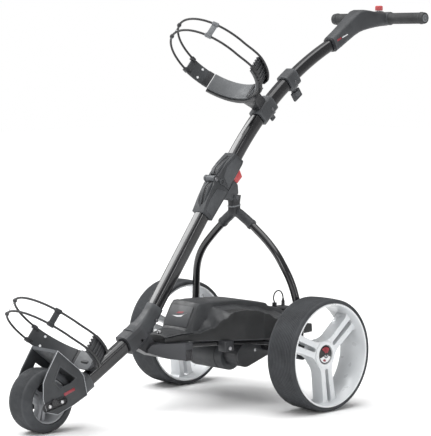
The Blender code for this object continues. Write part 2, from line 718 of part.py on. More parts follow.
def gearbox():
    x0, x1 = GEARBOX_X
    lid_x = x1 - 0.006
    wall = 0.003
    middle = (x0 + lid_x) / 2
    shell = outline([box_loop(GEARBOX_R)], lid_x - x0, side_frame((0, 0), 0.0, middle), 0.001)
    inside = outline([box_loop(GEARBOX_R - wall)], lid_x - x0, side_frame((0, 0), 0.0, middle + wall))
    places = ((AXLE_R, Vector((0.0, AXLE_Z))), (0.003, MOTOR), (0.004, IDLER))
    bores = [rod(radius + GAP, x0 - 0.01, x1, at, 28) for radius, at in places]
    node(as_mesh(cut(shell, inside, *bores)), "gearbox_housing", "moulded_grey", trolley)
    lid = outline([box_loop(GEARBOX_R)], 0.006 - GAP, side_frame((0, 0), 0.0, x1 - 0.003 + GAP / 2), 0.001)
    holes = [rod(radius + GAP, x0, x1 + 0.01, at, 28) for radius, at in (places[0], places[2])]
    node(as_mesh(cut(lid, *holes)), "gearbox_cover", "moulded_grey", trolley)


def motor():
    back = -MOTOR_LENGTH
    can = turned(
        [(MOTOR_R, 0.0), (MOTOR_R, back + 0.006), (MOTOR_R - 0.006, back), (0.0045, back),
         (0.0045, back + 0.004), (0.0310, back + 0.008), (0.0310, -0.003), (0.0045, -0.003), (0.0045, 0.0)],
        side_frame(MOTOR, 0.0, GEARBOX_X[0] - GAP), 36,
    )
    node(as_mesh(can), "motor_can", "cover_black", trolley)


# ---------------------------------------------------------------- battery and cover
# Side profiles (y, z) of the cover's middle block and of its wings, and half of the plan (x, y)
BLOCK = ((-0.300, 0.1685), (-0.300, 0.184), (-0.290, 0.189), (-0.243, 0.193), (-0.207, 0.255),
         (-0.165, 0.257), (-0.060, 0.252), (0.030, 0.235), (0.072, 0.222), (0.090, 0.2070),
         (0.146, 0.2060), (0.146, 0.1685))
WING = ((-0.292, 0.1685), (-0.292, 0.184), (-0.230, 0.195), (-0.200, 0.214), (-0.165, 0.228), (-0.120, 0.236),
        (-0.070, 0.235), (-0.030, 0.224), (0.010, 0.206), (0.060, 0.192), (0.085, 0.187), (0.085, 0.1685))
WING_PLAN = ((0.031, -0.2985), (0.050, -0.240), (0.092, -0.180), (0.130, -0.128), (0.152, -0.085),
             (0.157, 0.000), (0.150, 0.083))
TAIL_PLAN = ((0.055, 0.083), (0.055, 0.150))
BLOCK_HALF = 0.050
WALL = 0.003


def lowered(loop, by):
    """A side profile inside another, with its flat bottom carried on below so the hollow is open."""
    low = min(b for _, b in loop)
    middle = sum(a for a, _ in loop) / len(loop)
    return [(a + by if a < middle else a - by, low - 0.01 if b == low else b - by * 1.15) for a, b in loop]


def narrowed(half, by):
    """A half plan drawn in at its sides and at both ends."""
    front = half[0][1]
    return [(x - by * 1.3, y + by if y == front else y - by) for x, y in half]


def cover_solid(by):
    """The cover's outer shape, or with a wall thickness the hollow inside it."""
    block_loop, wing_loop = (lowered(BLOCK, by), lowered(WING, by)) if by else (BLOCK, WING)
    made = outline([block_loop], 2 * (BLOCK_HALF - by), side_frame((0, 0)), 0.0 if by else 0.003)
    wings = outline([wing_loop], 0.330, side_frame((0, 0)))
    plan = outline([mirrored(narrowed([*WING_PLAN, *TAIL_PLAN], by))], 0.300, Matrix.Translation((0, 0, 0.2)))
    return as_mesh(combine(join(made, wings), plan, "INTERSECT"))


def battery_bay():
    node(as_mesh(cut(cover_solid(0.0), cover_solid(WALL))), "battery_cover", "cover_black", trolley)
    floor = mirrored(narrowed(WING_PLAN, WALL + 2 * GAP))
    tray = outline([floor], 0.005, Matrix.Translation((0.0, 0.0, 0.1703)))
    node(tray, "battery_tray", "moulded_grey", trolley)
    cells = block((0.088, 0.150, 0.0585), Matrix.Translation((0.0, -0.060, 0.2023)), 0.003)
    node(cells, "battery", "battery", trolley)


LEAD = ((0.0, 0.102, 0.2262), (0.0, 0.0985, 0.236), (0.0, 0.102, 0.248), (0.0, 0.112, 0.2545),
        (0.0, 0.124, 0.252), (0.0, 0.131, 0.243), (0.0, 0.133, 0.2341))


def battery_lead():
    node(wire(smooth([Vector(p) for p in LEAD], 3), 0.0018), "battery_lead", "cord", trolley)
    plug = rod(0.0045, -0.009, 0.009, (0.0, 0.0), 16, 0.001)
    plug.matrix_world = Matrix.Translation((0.0, 0.133, 0.2243))
    node(plug, "lead_plug", "cap_black", trolley)
    socket = block((0.030, 0.050, 0.0080), Matrix.Translation((0.0, 0.1180, 0.2110)), 0.002)
    gland = rod(0.006, -0.006, 0.006, (0.0, 0.0), 20)
    gland.matrix_world = Matrix.Translation((0.0, 0.102, 0.2193))
    node(as_mesh(join(socket, gland)), "lead_socket", "moulded_grey", trolley)


# ---------------------------------------------------------------- bag cradles
def band(radius, wall, start, end, steps=10):
    """Ring segment in the (x, off) plane, angles in degrees."""
    return arc((0, 0), radius, start, end, steps) + arc((0, 0), radius + wall, end, start, steps)


def strap(bag, frame, name, joint):
    """Two springy cords from the right arm, over the bag and down outside the left arm, with a clip."""
    _, _, across, up, clip_at = bag

    def hoop(along):
        line = []
        for i in range(HOOP_STEPS + 1):
            angle = math.radians(186.5 - 244.5 * i / HOOP_STEPS)
            out = 1.0 + 0.10 * min(1.0, max(0.0, (0.35 - angle) / 0.45))
            out -= 0.034 * max(0.0, (-0.80 - angle) / 0.212)
            rise = up if angle > -0.1 else across
            line.append(Vector((across * out * math.cos(angle), rise * out * math.sin(angle), along)))
        return line

    made = wire(hoop(CORD_SPREAD), CORD_R)
    made.matrix_world = frame
    second = wire(hoop(-CORD_SPREAD), CORD_R)
    second.matrix_world = frame
    at = Vector((across * math.cos(clip_at), up * math.sin(clip_at), 0.0))
    clip = block((0.005, 0.013, 2 * CORD_SPREAD + 0.008),
                 frame @ Matrix.Translation(at) @ Matrix.Rotation(clip_at, 4, "Z"), 0.001)
    join(made, second, clip)
    node(as_mesh(made), name, "cord", joint)


def strut(foot, seat, along, across):
    reach = seat - foot
    frame = side_frame((foot + seat) / 2, math.atan2(reach.y, reach.x))
    return block((reach.length + 0.002, along, across), frame, 0.003)


def cradle(bag, label, joint, width, neck, tube):
    """A curved base with an arm on each side, in the plane that stands across the bag."""
    centre, slope, inner = bag[:3]
    frame = cross_frame(centre, slope)
    base = outline([band(inner, 0.005, 222.3, 317.7, 9)], width, frame)
    node(as_mesh(cut(join(base, *neck), tube)), f"{label}_cradle_base", "moulded_grey", joint)
    far = outline([band(inner, 0.006, 187.4, 221.6, 6)], width * 0.92, frame, 0.001)
    node(far, f"{label}_cradle_arm_right", "moulded_grey", joint)
    near = outline([band(inner, 0.006, 318.4, 354, 6)], width * 0.92, frame, 0.001)
    ribs = [outline([[(inner * 1.03 * math.cos(a), inner * 1.03 * math.sin(a)),
                      (inner * 1.135 * math.cos(a), inner * 1.135 * math.sin(a)),
                      (inner * 1.135 * math.cos(a + 0.03), inner * 1.135 * math.sin(a + 0.03)),
                      (inner * 1.03 * math.cos(a + 0.03), inner * 1.03 * math.sin(a + 0.03))]],
                    CORD_SPREAD * 2 - 0.008, frame)
            for a in (math.radians(d) for d in (322, 332, 342, 350))]
    node(as_mesh(join(near, *ribs)), f"{label}_cradle_arm_left", "moulded_grey", joint)
    strap(bag, frame, f"{label}_bag_strap", joint)


def lug(slope_degrees):
    """Pad on the rear side of a collar, for its knob's stud."""
    at = upper_point(slope_degrees, -0.0223)
    return block((0.022, 0.008, 0.022), side_frame(at, math.radians(slope_degrees)), 0.001)


def cradles():
    clamp = sleeve([upper_point(CLAMP_SLOPE + d) for d in (1.2, 0.0, -1.2)], 0.005)
    centre, slope, across = UPPER_BAG[:3]
    seat = on_slope(centre, slope, 0.0, -across - 0.002)
    stem = strut(upper_point(CLAMP_SLOPE, 0.019), seat, 0.030, 0.030)
    room = 0.010 + 4 * GAP
    tube = swept(upper_path(*UPPER_TUBE, 9), TUBE_W + room, TUBE_D + room, 0.009)
    cradle(UPPER_BAG, "upper", fold, 0.046, [stem], tube)
    node(as_mesh(join(clamp, lug(CLAMP_SLOPE))), "upper_cradle_clamp", "moulded_grey", fold)

    centre, slope, across = LOWER_BAG[:3]
    foot = on_slope(BEND, FRONT_SLOPE, -0.184, TUBE_D / 2 - 0.001)
    stem = strut(foot, on_slope(centre, slope, 0.006, -across - 0.0025), 0.030, 0.027)
    tube = swept(lower_path(*LOWER_TUBE), TUBE_W + 2 * GAP, TUBE_D + 2 * GAP)
    cradle(LOWER_BAG, "lower", trolley, 0.046, [stem], tube)


# ---------------------------------------------------------------- handle
def wing_knob(at, slope_degrees, name, joint, wing, stem_len):
    """Stud and wings of a hand knob; its axis stands off the tube, towards the rear."""
    slope = math.radians(slope_degrees)
    frame = side_frame(at, slope) @ Matrix.Rotation(math.pi / 2, 4, "X")
    bm = bmesh.new()
    bmesh.ops.create_cone(bm, cap_ends=True, segments=20, radius1=0.007, radius2=0.006, depth=stem_len)
    stud = shape(bm, frame @ Matrix.Translation((0.0, 0.0, stem_len / 2)))
    wings = block(wing, frame @ Matrix.Translation((0.0, 0.0, stem_len + wing[2] / 2 - 0.002)), 0.002)
    node(as_mesh(join(stud, wings)), name, "moulded_grey", joint)


def knobs():
    collar = sleeve([upper_point(COLLAR_SLOPE + d) for d in (1.1, 0.0, -1.1)], 0.005)
    node(as_mesh(join(collar, lug(COLLAR_SLOPE))), "height_collar", "moulded_grey", fold)
    wing_knob(KNOB_AT, COLLAR_SLOPE, "height_knob", height_knob_axis, (0.032, 0.008, 0.016), 0.008)
    wing_knob(CRADLE_KNOB_AT, CLAMP_SLOPE, "cradle_knob", cradle_knob_axis, (0.014, 0.014, 0.010), 0.006)


def console():
    """Handle casing: it grips the curved tube and spreads into the T-bar's cross tube."""
    path = [upper_point(d) for d in (25.2, 23.9, 22.6)] + [Vector((0.372, 0.905)), Vector((0.410, 0.924)),
                                                          Vector((0.450, 0.938)), Vector((0.476, 0.944))]
    body = swept(path, 0.037, 0.040, 0.012)
    cross = rod(CROSS_R, -0.040, 0.040, TBAR, 28, 0.002)
    crown = block((0.040, 0.060, 0.040), Matrix.Translation((0.0, 0.4250, 0.9440)), 0.010)
    deck = block((0.046, 0.030, 0.022), Matrix.Translation((0.0, TBAR.x, 0.9530)), 0.005)
    tube = swept(upper_path(26.5, HANDLE_TUBE[1] - 0.03, 6), TUBE_W - 2 * TUBE_WALL - 0.0006 + 2 * GAP,
                 TUBE_D - 2 * TUBE_WALL - 0.0006 + 2 * GAP, 0.006)
    well = turned([(0.0, 0.0), (0.0075, 0.0), (0.0075, -0.0200), (0.0, -0.0200)],
                  Matrix.Translation((0.0, TBAR.x, 0.9645)), 24)
    bar = rod(0.0103, -0.2, 0.2, TBAR, 28)
    join(body, cross, crown, deck)
    node(as_mesh(cut(body, tube, bar, well)), "handle_console", "moulded_grey", height)
    core = rod(0.0100, -TBAR_HALF + 0.004, TBAR_HALF - 0.004, TBAR, 28)
    top = block((0.018, 0.018, 0.006), Matrix.Translation((0.0, TBAR.x, TBAR.y + 0.0093)))
    node(as_mesh(cut(core, top)), "t_bar", "steel", height)
    for side, label in ((1, "left"), (-1, "right")):
        ring = side_frame(TBAR, 0.0, 0.0)
        x0 = side * (0.040 + GAP)
        profile = [(GRIP_R, x0), (GRIP_R, side * 0.146), (GRIP_R + 0.0012, side * 0.149),
                   (GRIP_R + 0.0012, side * 0.157), (GRIP_R - 0.001, side * TBAR_HALF),
                   (0.0, side * TBAR_HALF), (0.0, side * (TBAR_HALF - 0.0037)),
                   (0.0103, side * (TBAR_HALF - 0.0037)), (0.0103, x0)]
        sleeve_part = turned(profile if side < 0 else profile[::-1], ring, 28)
        node(as_mesh(sleeve_part), f"grip_{label}", "grip", height)


def dial():
    at = Matrix.Translation((0.0, TBAR.x, 0.0))
    stem = turned([(0.0, 0.9640), (0.0070, 0.9640), (0.0070, 0.9590), (0.0, 0.9590)], at, 24)
    post = turned([(0.0, 0.9720), (0.0035, 0.9720), (0.0035, 0.9630), (0.0, 0.9630)], at, 20)
    node(as_mesh(join(stem, post)), "dial_plunger", "steel", dial_push)
    knob = turned([(0.0, 0.9790), (0.0080, 0.9790), (DIAL_R, 0.9770), (DIAL_R, 0.9662), (0.0038, 0.9662),
                   (0.0038, 0.9723), (0.0, 0.9723)], at, 28)
    node(as_mesh(knob), "speed_dial", "red", dial_turn)


fork()
front_wheel()
frame_tubes()
hinge()
yoke()
wishbone()
catch()
chassis_node()
rails()
bearing_blocks()
axle_tubes()
gearbox()
motor()
drive_train()
battery_bay()
battery_lead()
cradles()
knobs()
console()
dial()
rear_wheel(1, "left")
rear_wheel(-1, "right")
trolley.location.y = ORIGIN_Y
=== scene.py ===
"""Looks of the folding electric golf trolley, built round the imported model.

Metres, +Z up, the trolley travels towards -Y and +X is its left side. Side profiles are (y, z)
with y measured from the rear axle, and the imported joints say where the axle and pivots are.
"""

import json
import math

import bmesh
import bpy
from mathutils import Matrix, Vector


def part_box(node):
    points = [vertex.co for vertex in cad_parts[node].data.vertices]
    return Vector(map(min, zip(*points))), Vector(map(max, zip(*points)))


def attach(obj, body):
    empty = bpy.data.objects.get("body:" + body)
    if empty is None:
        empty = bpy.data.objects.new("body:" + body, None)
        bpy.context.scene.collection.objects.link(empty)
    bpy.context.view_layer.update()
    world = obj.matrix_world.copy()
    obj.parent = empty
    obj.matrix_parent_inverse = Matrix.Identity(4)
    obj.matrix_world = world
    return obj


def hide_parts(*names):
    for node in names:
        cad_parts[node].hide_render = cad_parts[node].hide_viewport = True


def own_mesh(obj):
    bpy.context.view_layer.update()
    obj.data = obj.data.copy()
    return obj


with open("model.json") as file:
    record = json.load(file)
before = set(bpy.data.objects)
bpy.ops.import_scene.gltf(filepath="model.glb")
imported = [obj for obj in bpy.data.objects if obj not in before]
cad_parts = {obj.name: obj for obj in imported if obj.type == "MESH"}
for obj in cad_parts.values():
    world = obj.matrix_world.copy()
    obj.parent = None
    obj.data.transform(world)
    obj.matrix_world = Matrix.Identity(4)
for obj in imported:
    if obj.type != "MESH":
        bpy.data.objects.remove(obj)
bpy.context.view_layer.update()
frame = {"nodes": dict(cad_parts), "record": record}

JOINT = {j["name"]: Vector(j.get("pos_m", (0.0, 0.0, 0.0))) for j in frame["record"]["behaviour"]["joints"]}
AXLE = JOINT["left_wheel_spin"]
FRONT_AXLE = JOINT["front_wheel_spin"]
PIVOT = JOINT["frame_fold"]
ARC_CENTRE = JOINT["handle_height"]
DIAL = JOINT["dial_turn"]
MOTOR = JOINT["motor_spin"]
LEFT = 1
RIGHT = -1
SIDES = ((LEFT, "left"), (RIGHT, "right"))


def middle(node):
    low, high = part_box(node)
    return (Vector(low) + Vector(high)) / 2


def at(y, z, x=0.0):
    """A place given from the rear axle along Y and from the ground along Z."""
    return Vector((x, AXLE.y + y, z))


# ---------------------------------------------------------------- materials
class Surface:
    """Node material whose colour, gloss and relief vary over the surface in the row frame."""

    def __init__(self, name, rough, metallic=0.0, coat=0.0, specular=0.5):
        self.material = bpy.data.materials.new(name)
        self.material.use_nodes = True
        self.nodes = self.material.node_tree.nodes
        self.links = self.material.node_tree.links
        self.shader = self.nodes["Principled BSDF"]
        self.shader.inputs["Roughness"].default_value = rough
        self.shader.inputs["Metallic"].default_value = metallic
        self.shader.inputs["Coat Weight"].default_value = coat
        self.shader.inputs["Coat Roughness"].default_value = 0.05
        self.shader.inputs["Specular IOR Level"].default_value = specular
        self.place = self.nodes.new("ShaderNodeTexCoord").outputs["Object"]

    def stretched(self, scale):
        mapping = self.nodes.new("ShaderNodeMapping")
        mapping.inputs["Scale"].default_value = scale
        self.links.new(self.place, mapping.inputs["Vector"])
        return mapping.outputs["Vector"]

    def noise(self, scale, detail=3.0, stretch=None):
        made = self.nodes.new("ShaderNodeTexNoise")
        made.inputs["Scale"].default_value = scale
        made.inputs["Detail"].default_value = detail
        self.links.new(self.stretched(stretch) if stretch else self.place, made.inputs["Vector"])
        return made.outputs["Fac"]

    def cells(self, scale):
        made = self.nodes.new("ShaderNodeTexVoronoi")
        made.inputs["Scale"].default_value = scale
        self.links.new(self.place, made.inputs["Vector"])
        return made.outputs["Distance"]

    def between(self, factor, low, high, start=0.3, stop=0.7):
        made = self.nodes.new("ShaderNodeMapRange")
        made.inputs["From Min"].default_value = start
        made.inputs["From Max"].default_value = stop
        made.inputs["To Min"].default_value = low
        made.inputs["To Max"].default_value = high
        self.links.new(factor, made.inputs["Value"])
        return made.outputs["Result"]

    def blend(self, factor, first, second):
        made = self.nodes.new("ShaderNodeMix")
        made.data_type = "RGBA"
        self.links.new(factor, made.inputs["Factor"])
        for socket, value in (("A", first), ("B", second)):
            target = [i for i in made.inputs if i.name == socket and i.type == "RGBA"][0]
            if isinstance(value, tuple):
                target.default_value = (*value, 1.0)
            else:
                self.links.new(value, target)
        return [o for o in made.outputs if o.type == "RGBA"][0]

    def colour(self, value):
        self.links.new(value, self.shader.inputs["Base Color"])

    def roughness(self, value):
        self.links.new(value, self.shader.inputs["Roughness"])

    def relief(self, height, distance, strength=0.6):
        bump = self.nodes.new("ShaderNodeBump")
        bump.inputs["Strength"].default_value = strength
        bump.inputs["Distance"].default_value = distance
        self.links.new(height, bump.inputs["Height"])
        self.links.new(bump.outputs["Normal"], self.shader.inputs["Normal"])

    def worn(self, base, edge, start=0.53, stop=0.62):
        """Lighter on outer edges, from the mesh's own curvature."""
        geometry = self.nodes.new("ShaderNodeNewGeometry")
        wear = self.between(geometry.outputs["Pointiness"], 0.0, 0.6, start, stop)
        return self.blend(wear, base, edge)


def tinted(surface, dark, light, scale, detail=3.0):
    return surface.blend(surface.between(surface.noise(scale, detail), 0.0, 1.0), dark, light)


def gloss_black():
    made = Surface("gloss_black_enamel", 0.16, coat=0.35, specular=0.42)
    made.colour(tinted(made, (0.006, 0.006, 0.007), (0.013, 0.013, 0.015), 9.0))
    made.roughness(made.between(made.noise(35.0), 0.14, 0.24))
    made.relief(made.noise(38.0, 1.0), 0.0004, 0.04)
    return made.material


def moulded(name, dark, light, rough=0.48, grain=1500.0):
    made = Surface(name, rough, specular=0.38)
    base = tinted(made, dark, light, 14.0)
    made.colour(made.worn(base, tuple(min(1.0, c * 2.4 + 0.02) for c in light)))
    made.roughness(made.between(made.noise(60.0), rough - 0.08, rough + 0.1))
    made.relief(made.cells(grain), 0.0003, 0.35)
    return made.material


def tyre_rubber():
    made = Surface("tyre_rubber", 0.72, specular=0.35)
    made.colour(made.worn(tinted(made, (0.028, 0.03, 0.033), (0.048, 0.051, 0.056), 18.0),
                          (0.11, 0.115, 0.12)))
    made.roughness(made.between(made.noise(90.0), 0.62, 0.84))
    made.relief(made.noise(900.0, 4.0), 0.0005, 0.35)
    return made.material


def silver():
    made = Surface("silver_rim", 0.34, metallic=0.12, coat=0.35)
    base = tinted(made, (0.58, 0.6, 0.615), (0.7, 0.715, 0.73), 11.0)
    made.colour(made.worn(base, (0.88, 0.89, 0.9)))
    made.roughness(made.between(made.noise(50.0), 0.26, 0.44))
    made.relief(made.noise(700.0, 2.0), 0.0003, 0.08)
    return made.material


def rim_grey():
    made = Surface("grey_rim", 0.42, metallic=0.1)
    made.colour(made.worn(tinted(made, (0.3, 0.31, 0.33), (0.44, 0.45, 0.47), 22.0), (0.65, 0.66, 0.68)))
    made.roughness(made.between(made.noise(80.0), 0.34, 0.52))
    made.relief(made.cells(1300.0), 0.0003, 0.15)
    return made.material


def grip_rubber():
    made = Surface("grip_rubber", 0.6, specular=0.4)
    made.colour(tinted(made, (0.02, 0.021, 0.022), (0.04, 0.042, 0.044), 30.0))
    made.roughness(made.between(made.noise(120.0), 0.5, 0.74))
    made.relief(made.cells(850.0), 0.0006, 0.5)
    return made.material


def red_plastic():
    made = Surface("red_moulded", 0.38, coat=0.2)
    made.colour(made.worn(tinted(made, (0.42, 0.03, 0.035), (0.58, 0.06, 0.065), 30.0), (0.75, 0.25, 0.25)))
    made.roughness(made.between(made.noise(90.0), 0.3, 0.48))
    made.relief(made.cells(1100.0), 0.0002, 0.2)
    return made.material


def cord_cover():
    made = Surface("elastic_cord", 0.58)
    made.colour(tinted(made, (0.008, 0.008, 0.009), (0.024, 0.024, 0.026), 500.0))
    made.roughness(made.between(made.noise(300.0), 0.48, 0.7))
    made.relief(made.cells(1400.0), 0.0004, 0.6)
    return made.material


def brushed(name, dark, light, rough=0.3):
    made = Surface(name, rough, metallic=1.0)
    made.colour(tinted(made, dark, light, 40.0))
    made.roughness(made.between(made.noise(260.0, 3.0, (0.15, 1.0, 1.0)), rough - 0.08, rough + 0.14))
    made.relief(made.noise(900.0, 2.0, (0.08, 1.0, 1.0)), 0.0002, 0.2)
    return made.material


def printed(name, colour, darker):
    made = Surface(name, 0.35, coat=0.3)
    made.colour(tinted(made, darker, colour, 120.0))
    made.roughness(made.between(made.noise(200.0), 0.28, 0.42))
    return made.material


BLACK = gloss_black()
GREY = moulded("moulded_grey", (0.026, 0.028, 0.031), (0.046, 0.049, 0.053))
DARK = moulded("moulded_dark", (0.012, 0.0125, 0.014), (0.023, 0.024, 0.027), 0.42)
COVER = moulded("cover_satin", (0.0075, 0.008, 0.0085), (0.013, 0.0138, 0.015), 0.44, 1900.0)
# lighter copy of the cover's moulding: painted highlight for the cover's top surfaces
COVER_LIT_TOP = moulded("cover_painted_top_highlight", (0.022, 0.0235, 0.0255), (0.036, 0.038, 0.041), 0.44, 1900.0)
MID = moulded("moulded_mid_grey", (0.075, 0.079, 0.084), (0.115, 0.121, 0.128), 0.42)
# pale grey: a print on the hub cap, and painted highlight along the fork cheeks' edges
PALE_PRINT_AND_HIGHLIGHT = moulded("pale_print_and_edge_highlight", (0.26, 0.27, 0.285), (0.36, 0.372, 0.39), 0.4)
TYRE = tyre_rubber()
SILVER = silver()
RIM_GREY = rim_grey()
GRIP = grip_rubber()
RED = red_plastic()
CORD = cord_cover()
STEEL = brushed("brushed_steel", (0.46, 0.46, 0.47), (0.66, 0.66, 0.67))
DARK_STEEL = brushed("dark_steel", (0.1, 0.1, 0.105), (0.18, 0.18, 0.19), 0.36)
CAP = moulded("cap_gloss", (0.008, 0.008, 0.009), (0.018, 0.018, 0.02), 0.24, 2400.0)
WHITE_MARK = printed("white_print", (0.78, 0.79, 0.8), (0.62, 0.63, 0.65))
RED_MARK = printed("red_print", (0.3, 0.02, 0.035), (0.18, 0.012, 0.02))
BATTERY = moulded("battery_case", (0.05, 0.05, 0.06), (0.08, 0.08, 0.09), 0.5)


# ---------------------------------------------------------------- shapes
def mesh_object(name, points, faces):
    mesh = bpy.data.meshes.new(name)
    mesh.from_pydata([tuple(p) for p in points], [], faces)
    bm = bmesh.new()
    bm.from_mesh(mesh)
    bmesh.ops.remove_doubles(bm, verts=bm.verts, dist=0.000002)
    bmesh.ops.dissolve_degenerate(bm, edges=bm.edges, dist=0.000002)
    bmesh.ops.recalc_face_normals(bm, faces=bm.faces)
    bm.to_mesh(mesh)
    bm.free()
    made = bpy.data.objects.new(name, mesh)
    bpy.context.scene.collection.objects.link(made)
    return made


def loft(name, rings, looped=False):
    """Join closed rings of equal length; looped joins the last to the first, else both ends are capped."""
    size = len(rings[0])
    points = [p for ring in rings for p in ring]
    faces = []
    for i in range(len(rings) if looped else len(rings) - 1):
        a, b = i * size, (i + 1) % len(rings) * size
        faces += [(a + k, a + (k + 1) % size, b + (k + 1) % size, b + k) for k in range(size)]
    if not looped:
        last = (len(rings) - 1) * size
        faces += [tuple(range(size)), tuple(range(last, last + size))]
    return mesh_object(name, points, faces)


def turned(name, profile, centre, steps=96):
    """Spin a closed (radius, x) profile about the axle line through centre."""
    rings = []
    for i in range(steps):
        a = 2 * math.pi * i / steps
        rings.append([centre + Vector((x, r * math.cos(a), r * math.sin(a))) for r, x in profile])
    return loft(name, rings, looped=True)


def turned_on(name, profile, centre, axis, steps=48):
    """Spin a closed (radius, height) profile about any axis through centre."""
    turn = axis.to_track_quat("Z", "Y")
    rings = []
    for i in range(steps):
        a = 2 * math.pi * i / steps
        rings.append([centre + turn @ Vector((r * math.cos(a), r * math.sin(a), h)) for r, h in profile])
    return loft(name, rings, looped=True)


def mirrored(profile, side):
    """A (radius, x) profile for one side of the trolley."""
    return [(r, side * x) for r, x in profile]


def baked(obj):
    """The object with its modifiers applied."""
    bpy.context.view_layer.update()
    mesh = bpy.data.meshes.new_from_object(obj.evaluated_get(bpy.context.evaluated_depsgraph_get()))
    old = obj.data
    if obj.type != "MESH":
        name, matrix = obj.name, obj.matrix_world.copy()
        bpy.data.objects.remove(obj)
        obj = bpy.data.objects.new(name, mesh)
        bpy.context.scene.collection.objects.link(obj)
        obj.matrix_world = matrix
    else:
        obj.modifiers.clear()
        obj.data = mesh
        bpy.data.meshes.remove(old)
    obj.data.transform(obj.matrix_world)
    obj.matrix_world = Matrix.Identity(4)
    return obj


def eased(obj, width, segments=3, angle=32):
    if width:
        edge = obj.modifiers.new("edge", "BEVEL")
        edge.width = width
        edge.segments = segments
        edge.limit_method = "ANGLE"
        edge.angle_limit = math.radians(angle)
    return baked(obj)


def slab(name, loops, thickness, matrix, edge=0.0, segments=3):
    """Flat outline with holes, extruded both ways along local Z."""
    curve = bpy.data.curves.new(name, "CURVE")
    curve.dimensions = "2D"
    curve.fill_mode = "BOTH"
    curve.extrude = thickness / 2
    for loop in loops:
        spline = curve.splines.new("POLY")
        spline.points.add(len(loop) - 1)
        for point, (a, b) in zip(spline.points, loop):
            point.co = (a, b, 0.0, 1.0)
        spline.use_cyclic_u = True
    made = bpy.data.objects.new(name, curve)
    bpy.context.scene.collection.objects.link(made)
    made.matrix_world = matrix
    bpy.context.view_layer.update()
    made = baked(made)
    bm = bmesh.new()
    bm.from_mesh(made.data)
    bmesh.ops.remove_doubles(bm, verts=bm.verts, dist=0.000005)
    bmesh.ops.recalc_face_normals(bm, faces=bm.faces)
    bm.to_mesh(made.data)
    bm.free()
    return eased(made, edge, segments)


def side_plane(place, slope=0.0, x=0.0):
    """Local X along the slope, local Y off it towards the bag, local Z to the trolley's left."""
    along = (0.0, math.cos(slope), math.sin(slope))
    off = (0.0, -math.sin(slope), math.cos(slope))
    turn = Matrix((along, off, (1.0, 0.0, 0.0))).transposed().to_4x4()
    return Matrix.Translation((x, place.y, place.z)) @ turn


def box_piece(name, size, matrix, edge, segments=3):
    half_a, half_b = size[0] / 2, size[1] / 2
    loop = [(-half_a, -half_b), (half_a, -half_b), (half_a, half_b), (-half_a, half_b)]
    return slab(name, [loop], size[2], matrix, edge, segments)


def tube(name, points, radius, resolution=5, cyclic=False):
    curve = bpy.data.curves.new(name, "CURVE")
    curve.dimensions = "3D"
    curve.bevel_depth = radius
    curve.bevel_resolution = resolution
    curve.use_fill_caps = not cyclic
    spline = curve.splines.new("POLY")
    spline.points.add(len(points) - 1)
    spline.use_cyclic_u = cyclic
    for point, place in zip(spline.points, points):
        point.co = (*place, 1.0)
    made = bpy.data.objects.new(name, curve)
    bpy.context.scene.collection.objects.link(made)
    return baked(made)


def smooth(points, steps):
    """Catmull-Rom points through a few places."""
    points = [Vector(p) for p in points]
    ends = [points[0] * 2 - points[1], *points, points[-1] * 2 - points[-2]]
    line = []
    for i in range(1, len(ends) - 2):
        a, b, c, d = ends[i - 1:i + 3]
        for step in range(steps):
            t = step / steps
            line.append(0.5 * (2 * b + (c - a) * t + (2 * a - 5 * b + 4 * c - d) * t ** 2
                               + (3 * b - a - 3 * c + d) * t ** 3))
    line.append(points[-1])
    return line


def rounded(width, depth, corner, steps=6):
    """Rounded rectangle, depth along the first axis and width along the second."""
    loop = []
    for quarter, (sx, sy) in enumerate(((1, 1), (-1, 1), (-1, -1), (1, -1))):
        for step in range(steps + 1):
            angle = math.pi / 2 * (quarter + step / steps)
            loop.append((sx * (depth / 2 - corner) + corner * math.cos(angle),
                         sy * (width / 2 - corner) + corner * math.sin(angle)))
    return loop


def swept(name, stations):
    """Loft of rounded rectangles in the middle plane: (place, width, depth, corner) along a line."""
    rings = []
    for i, (place, width, depth, corner) in enumerate(stations):
        before = stations[max(0, i - 1)][0]
        after = stations[min(len(stations) - 1, i + 1)][0]
        along = (after - before).normalized()
        off = Vector((0.0, -along.z, along.y))
        rings.append([place + off * a + Vector((b, 0.0, 0.0)) for a, b in rounded(width, depth, corner)])
    return loft(name, rings)


def arc(centre, radius, start, end, steps):
    return [(centre[0] + radius * math.cos(math.radians(start + (end - start) * i / steps)),
             centre[1] + radius * math.sin(math.radians(start + (end - start) * i / steps)))
            for i in range(steps + 1)]


def track(table, value):
    """Smoothly interpolate a table of (position, value) pairs."""
    if value <= table[0][0]:
        return table[0][1]
    for (a, low), (b, high) in zip(table, table[1:]):
        if value <= b:
            t = (value - a) / (b - a)
            t = t * t * (3 - 2 * t)
            return low + (high - low) * t
    return table[-1][1]


def dressed(obj, body, material, nodes=(), angle=36):
    """Finish a piece: material, shading, the body it rides on and the nodes it stands for."""
    if not obj.data.materials:
        obj.data.materials.append(material)
    obj.data.shade_smooth()
    obj.data.set_sharp_from_angle(angle=math.radians(angle))
    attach(obj, body)
    if nodes:
        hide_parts(*nodes)
    return obj


def joined(first, *others):
    """One mesh object from several, keeping each one's material."""
    bpy.ops.object.select_all(action="DESELECT")
    for obj in (first, *others):
        obj.select_set(True)
    bpy.context.view_layer.objects.active = first
    bpy.ops.object.join()
    return first


def painted(obj, material):
    obj.data.materials.append(material)
    return obj


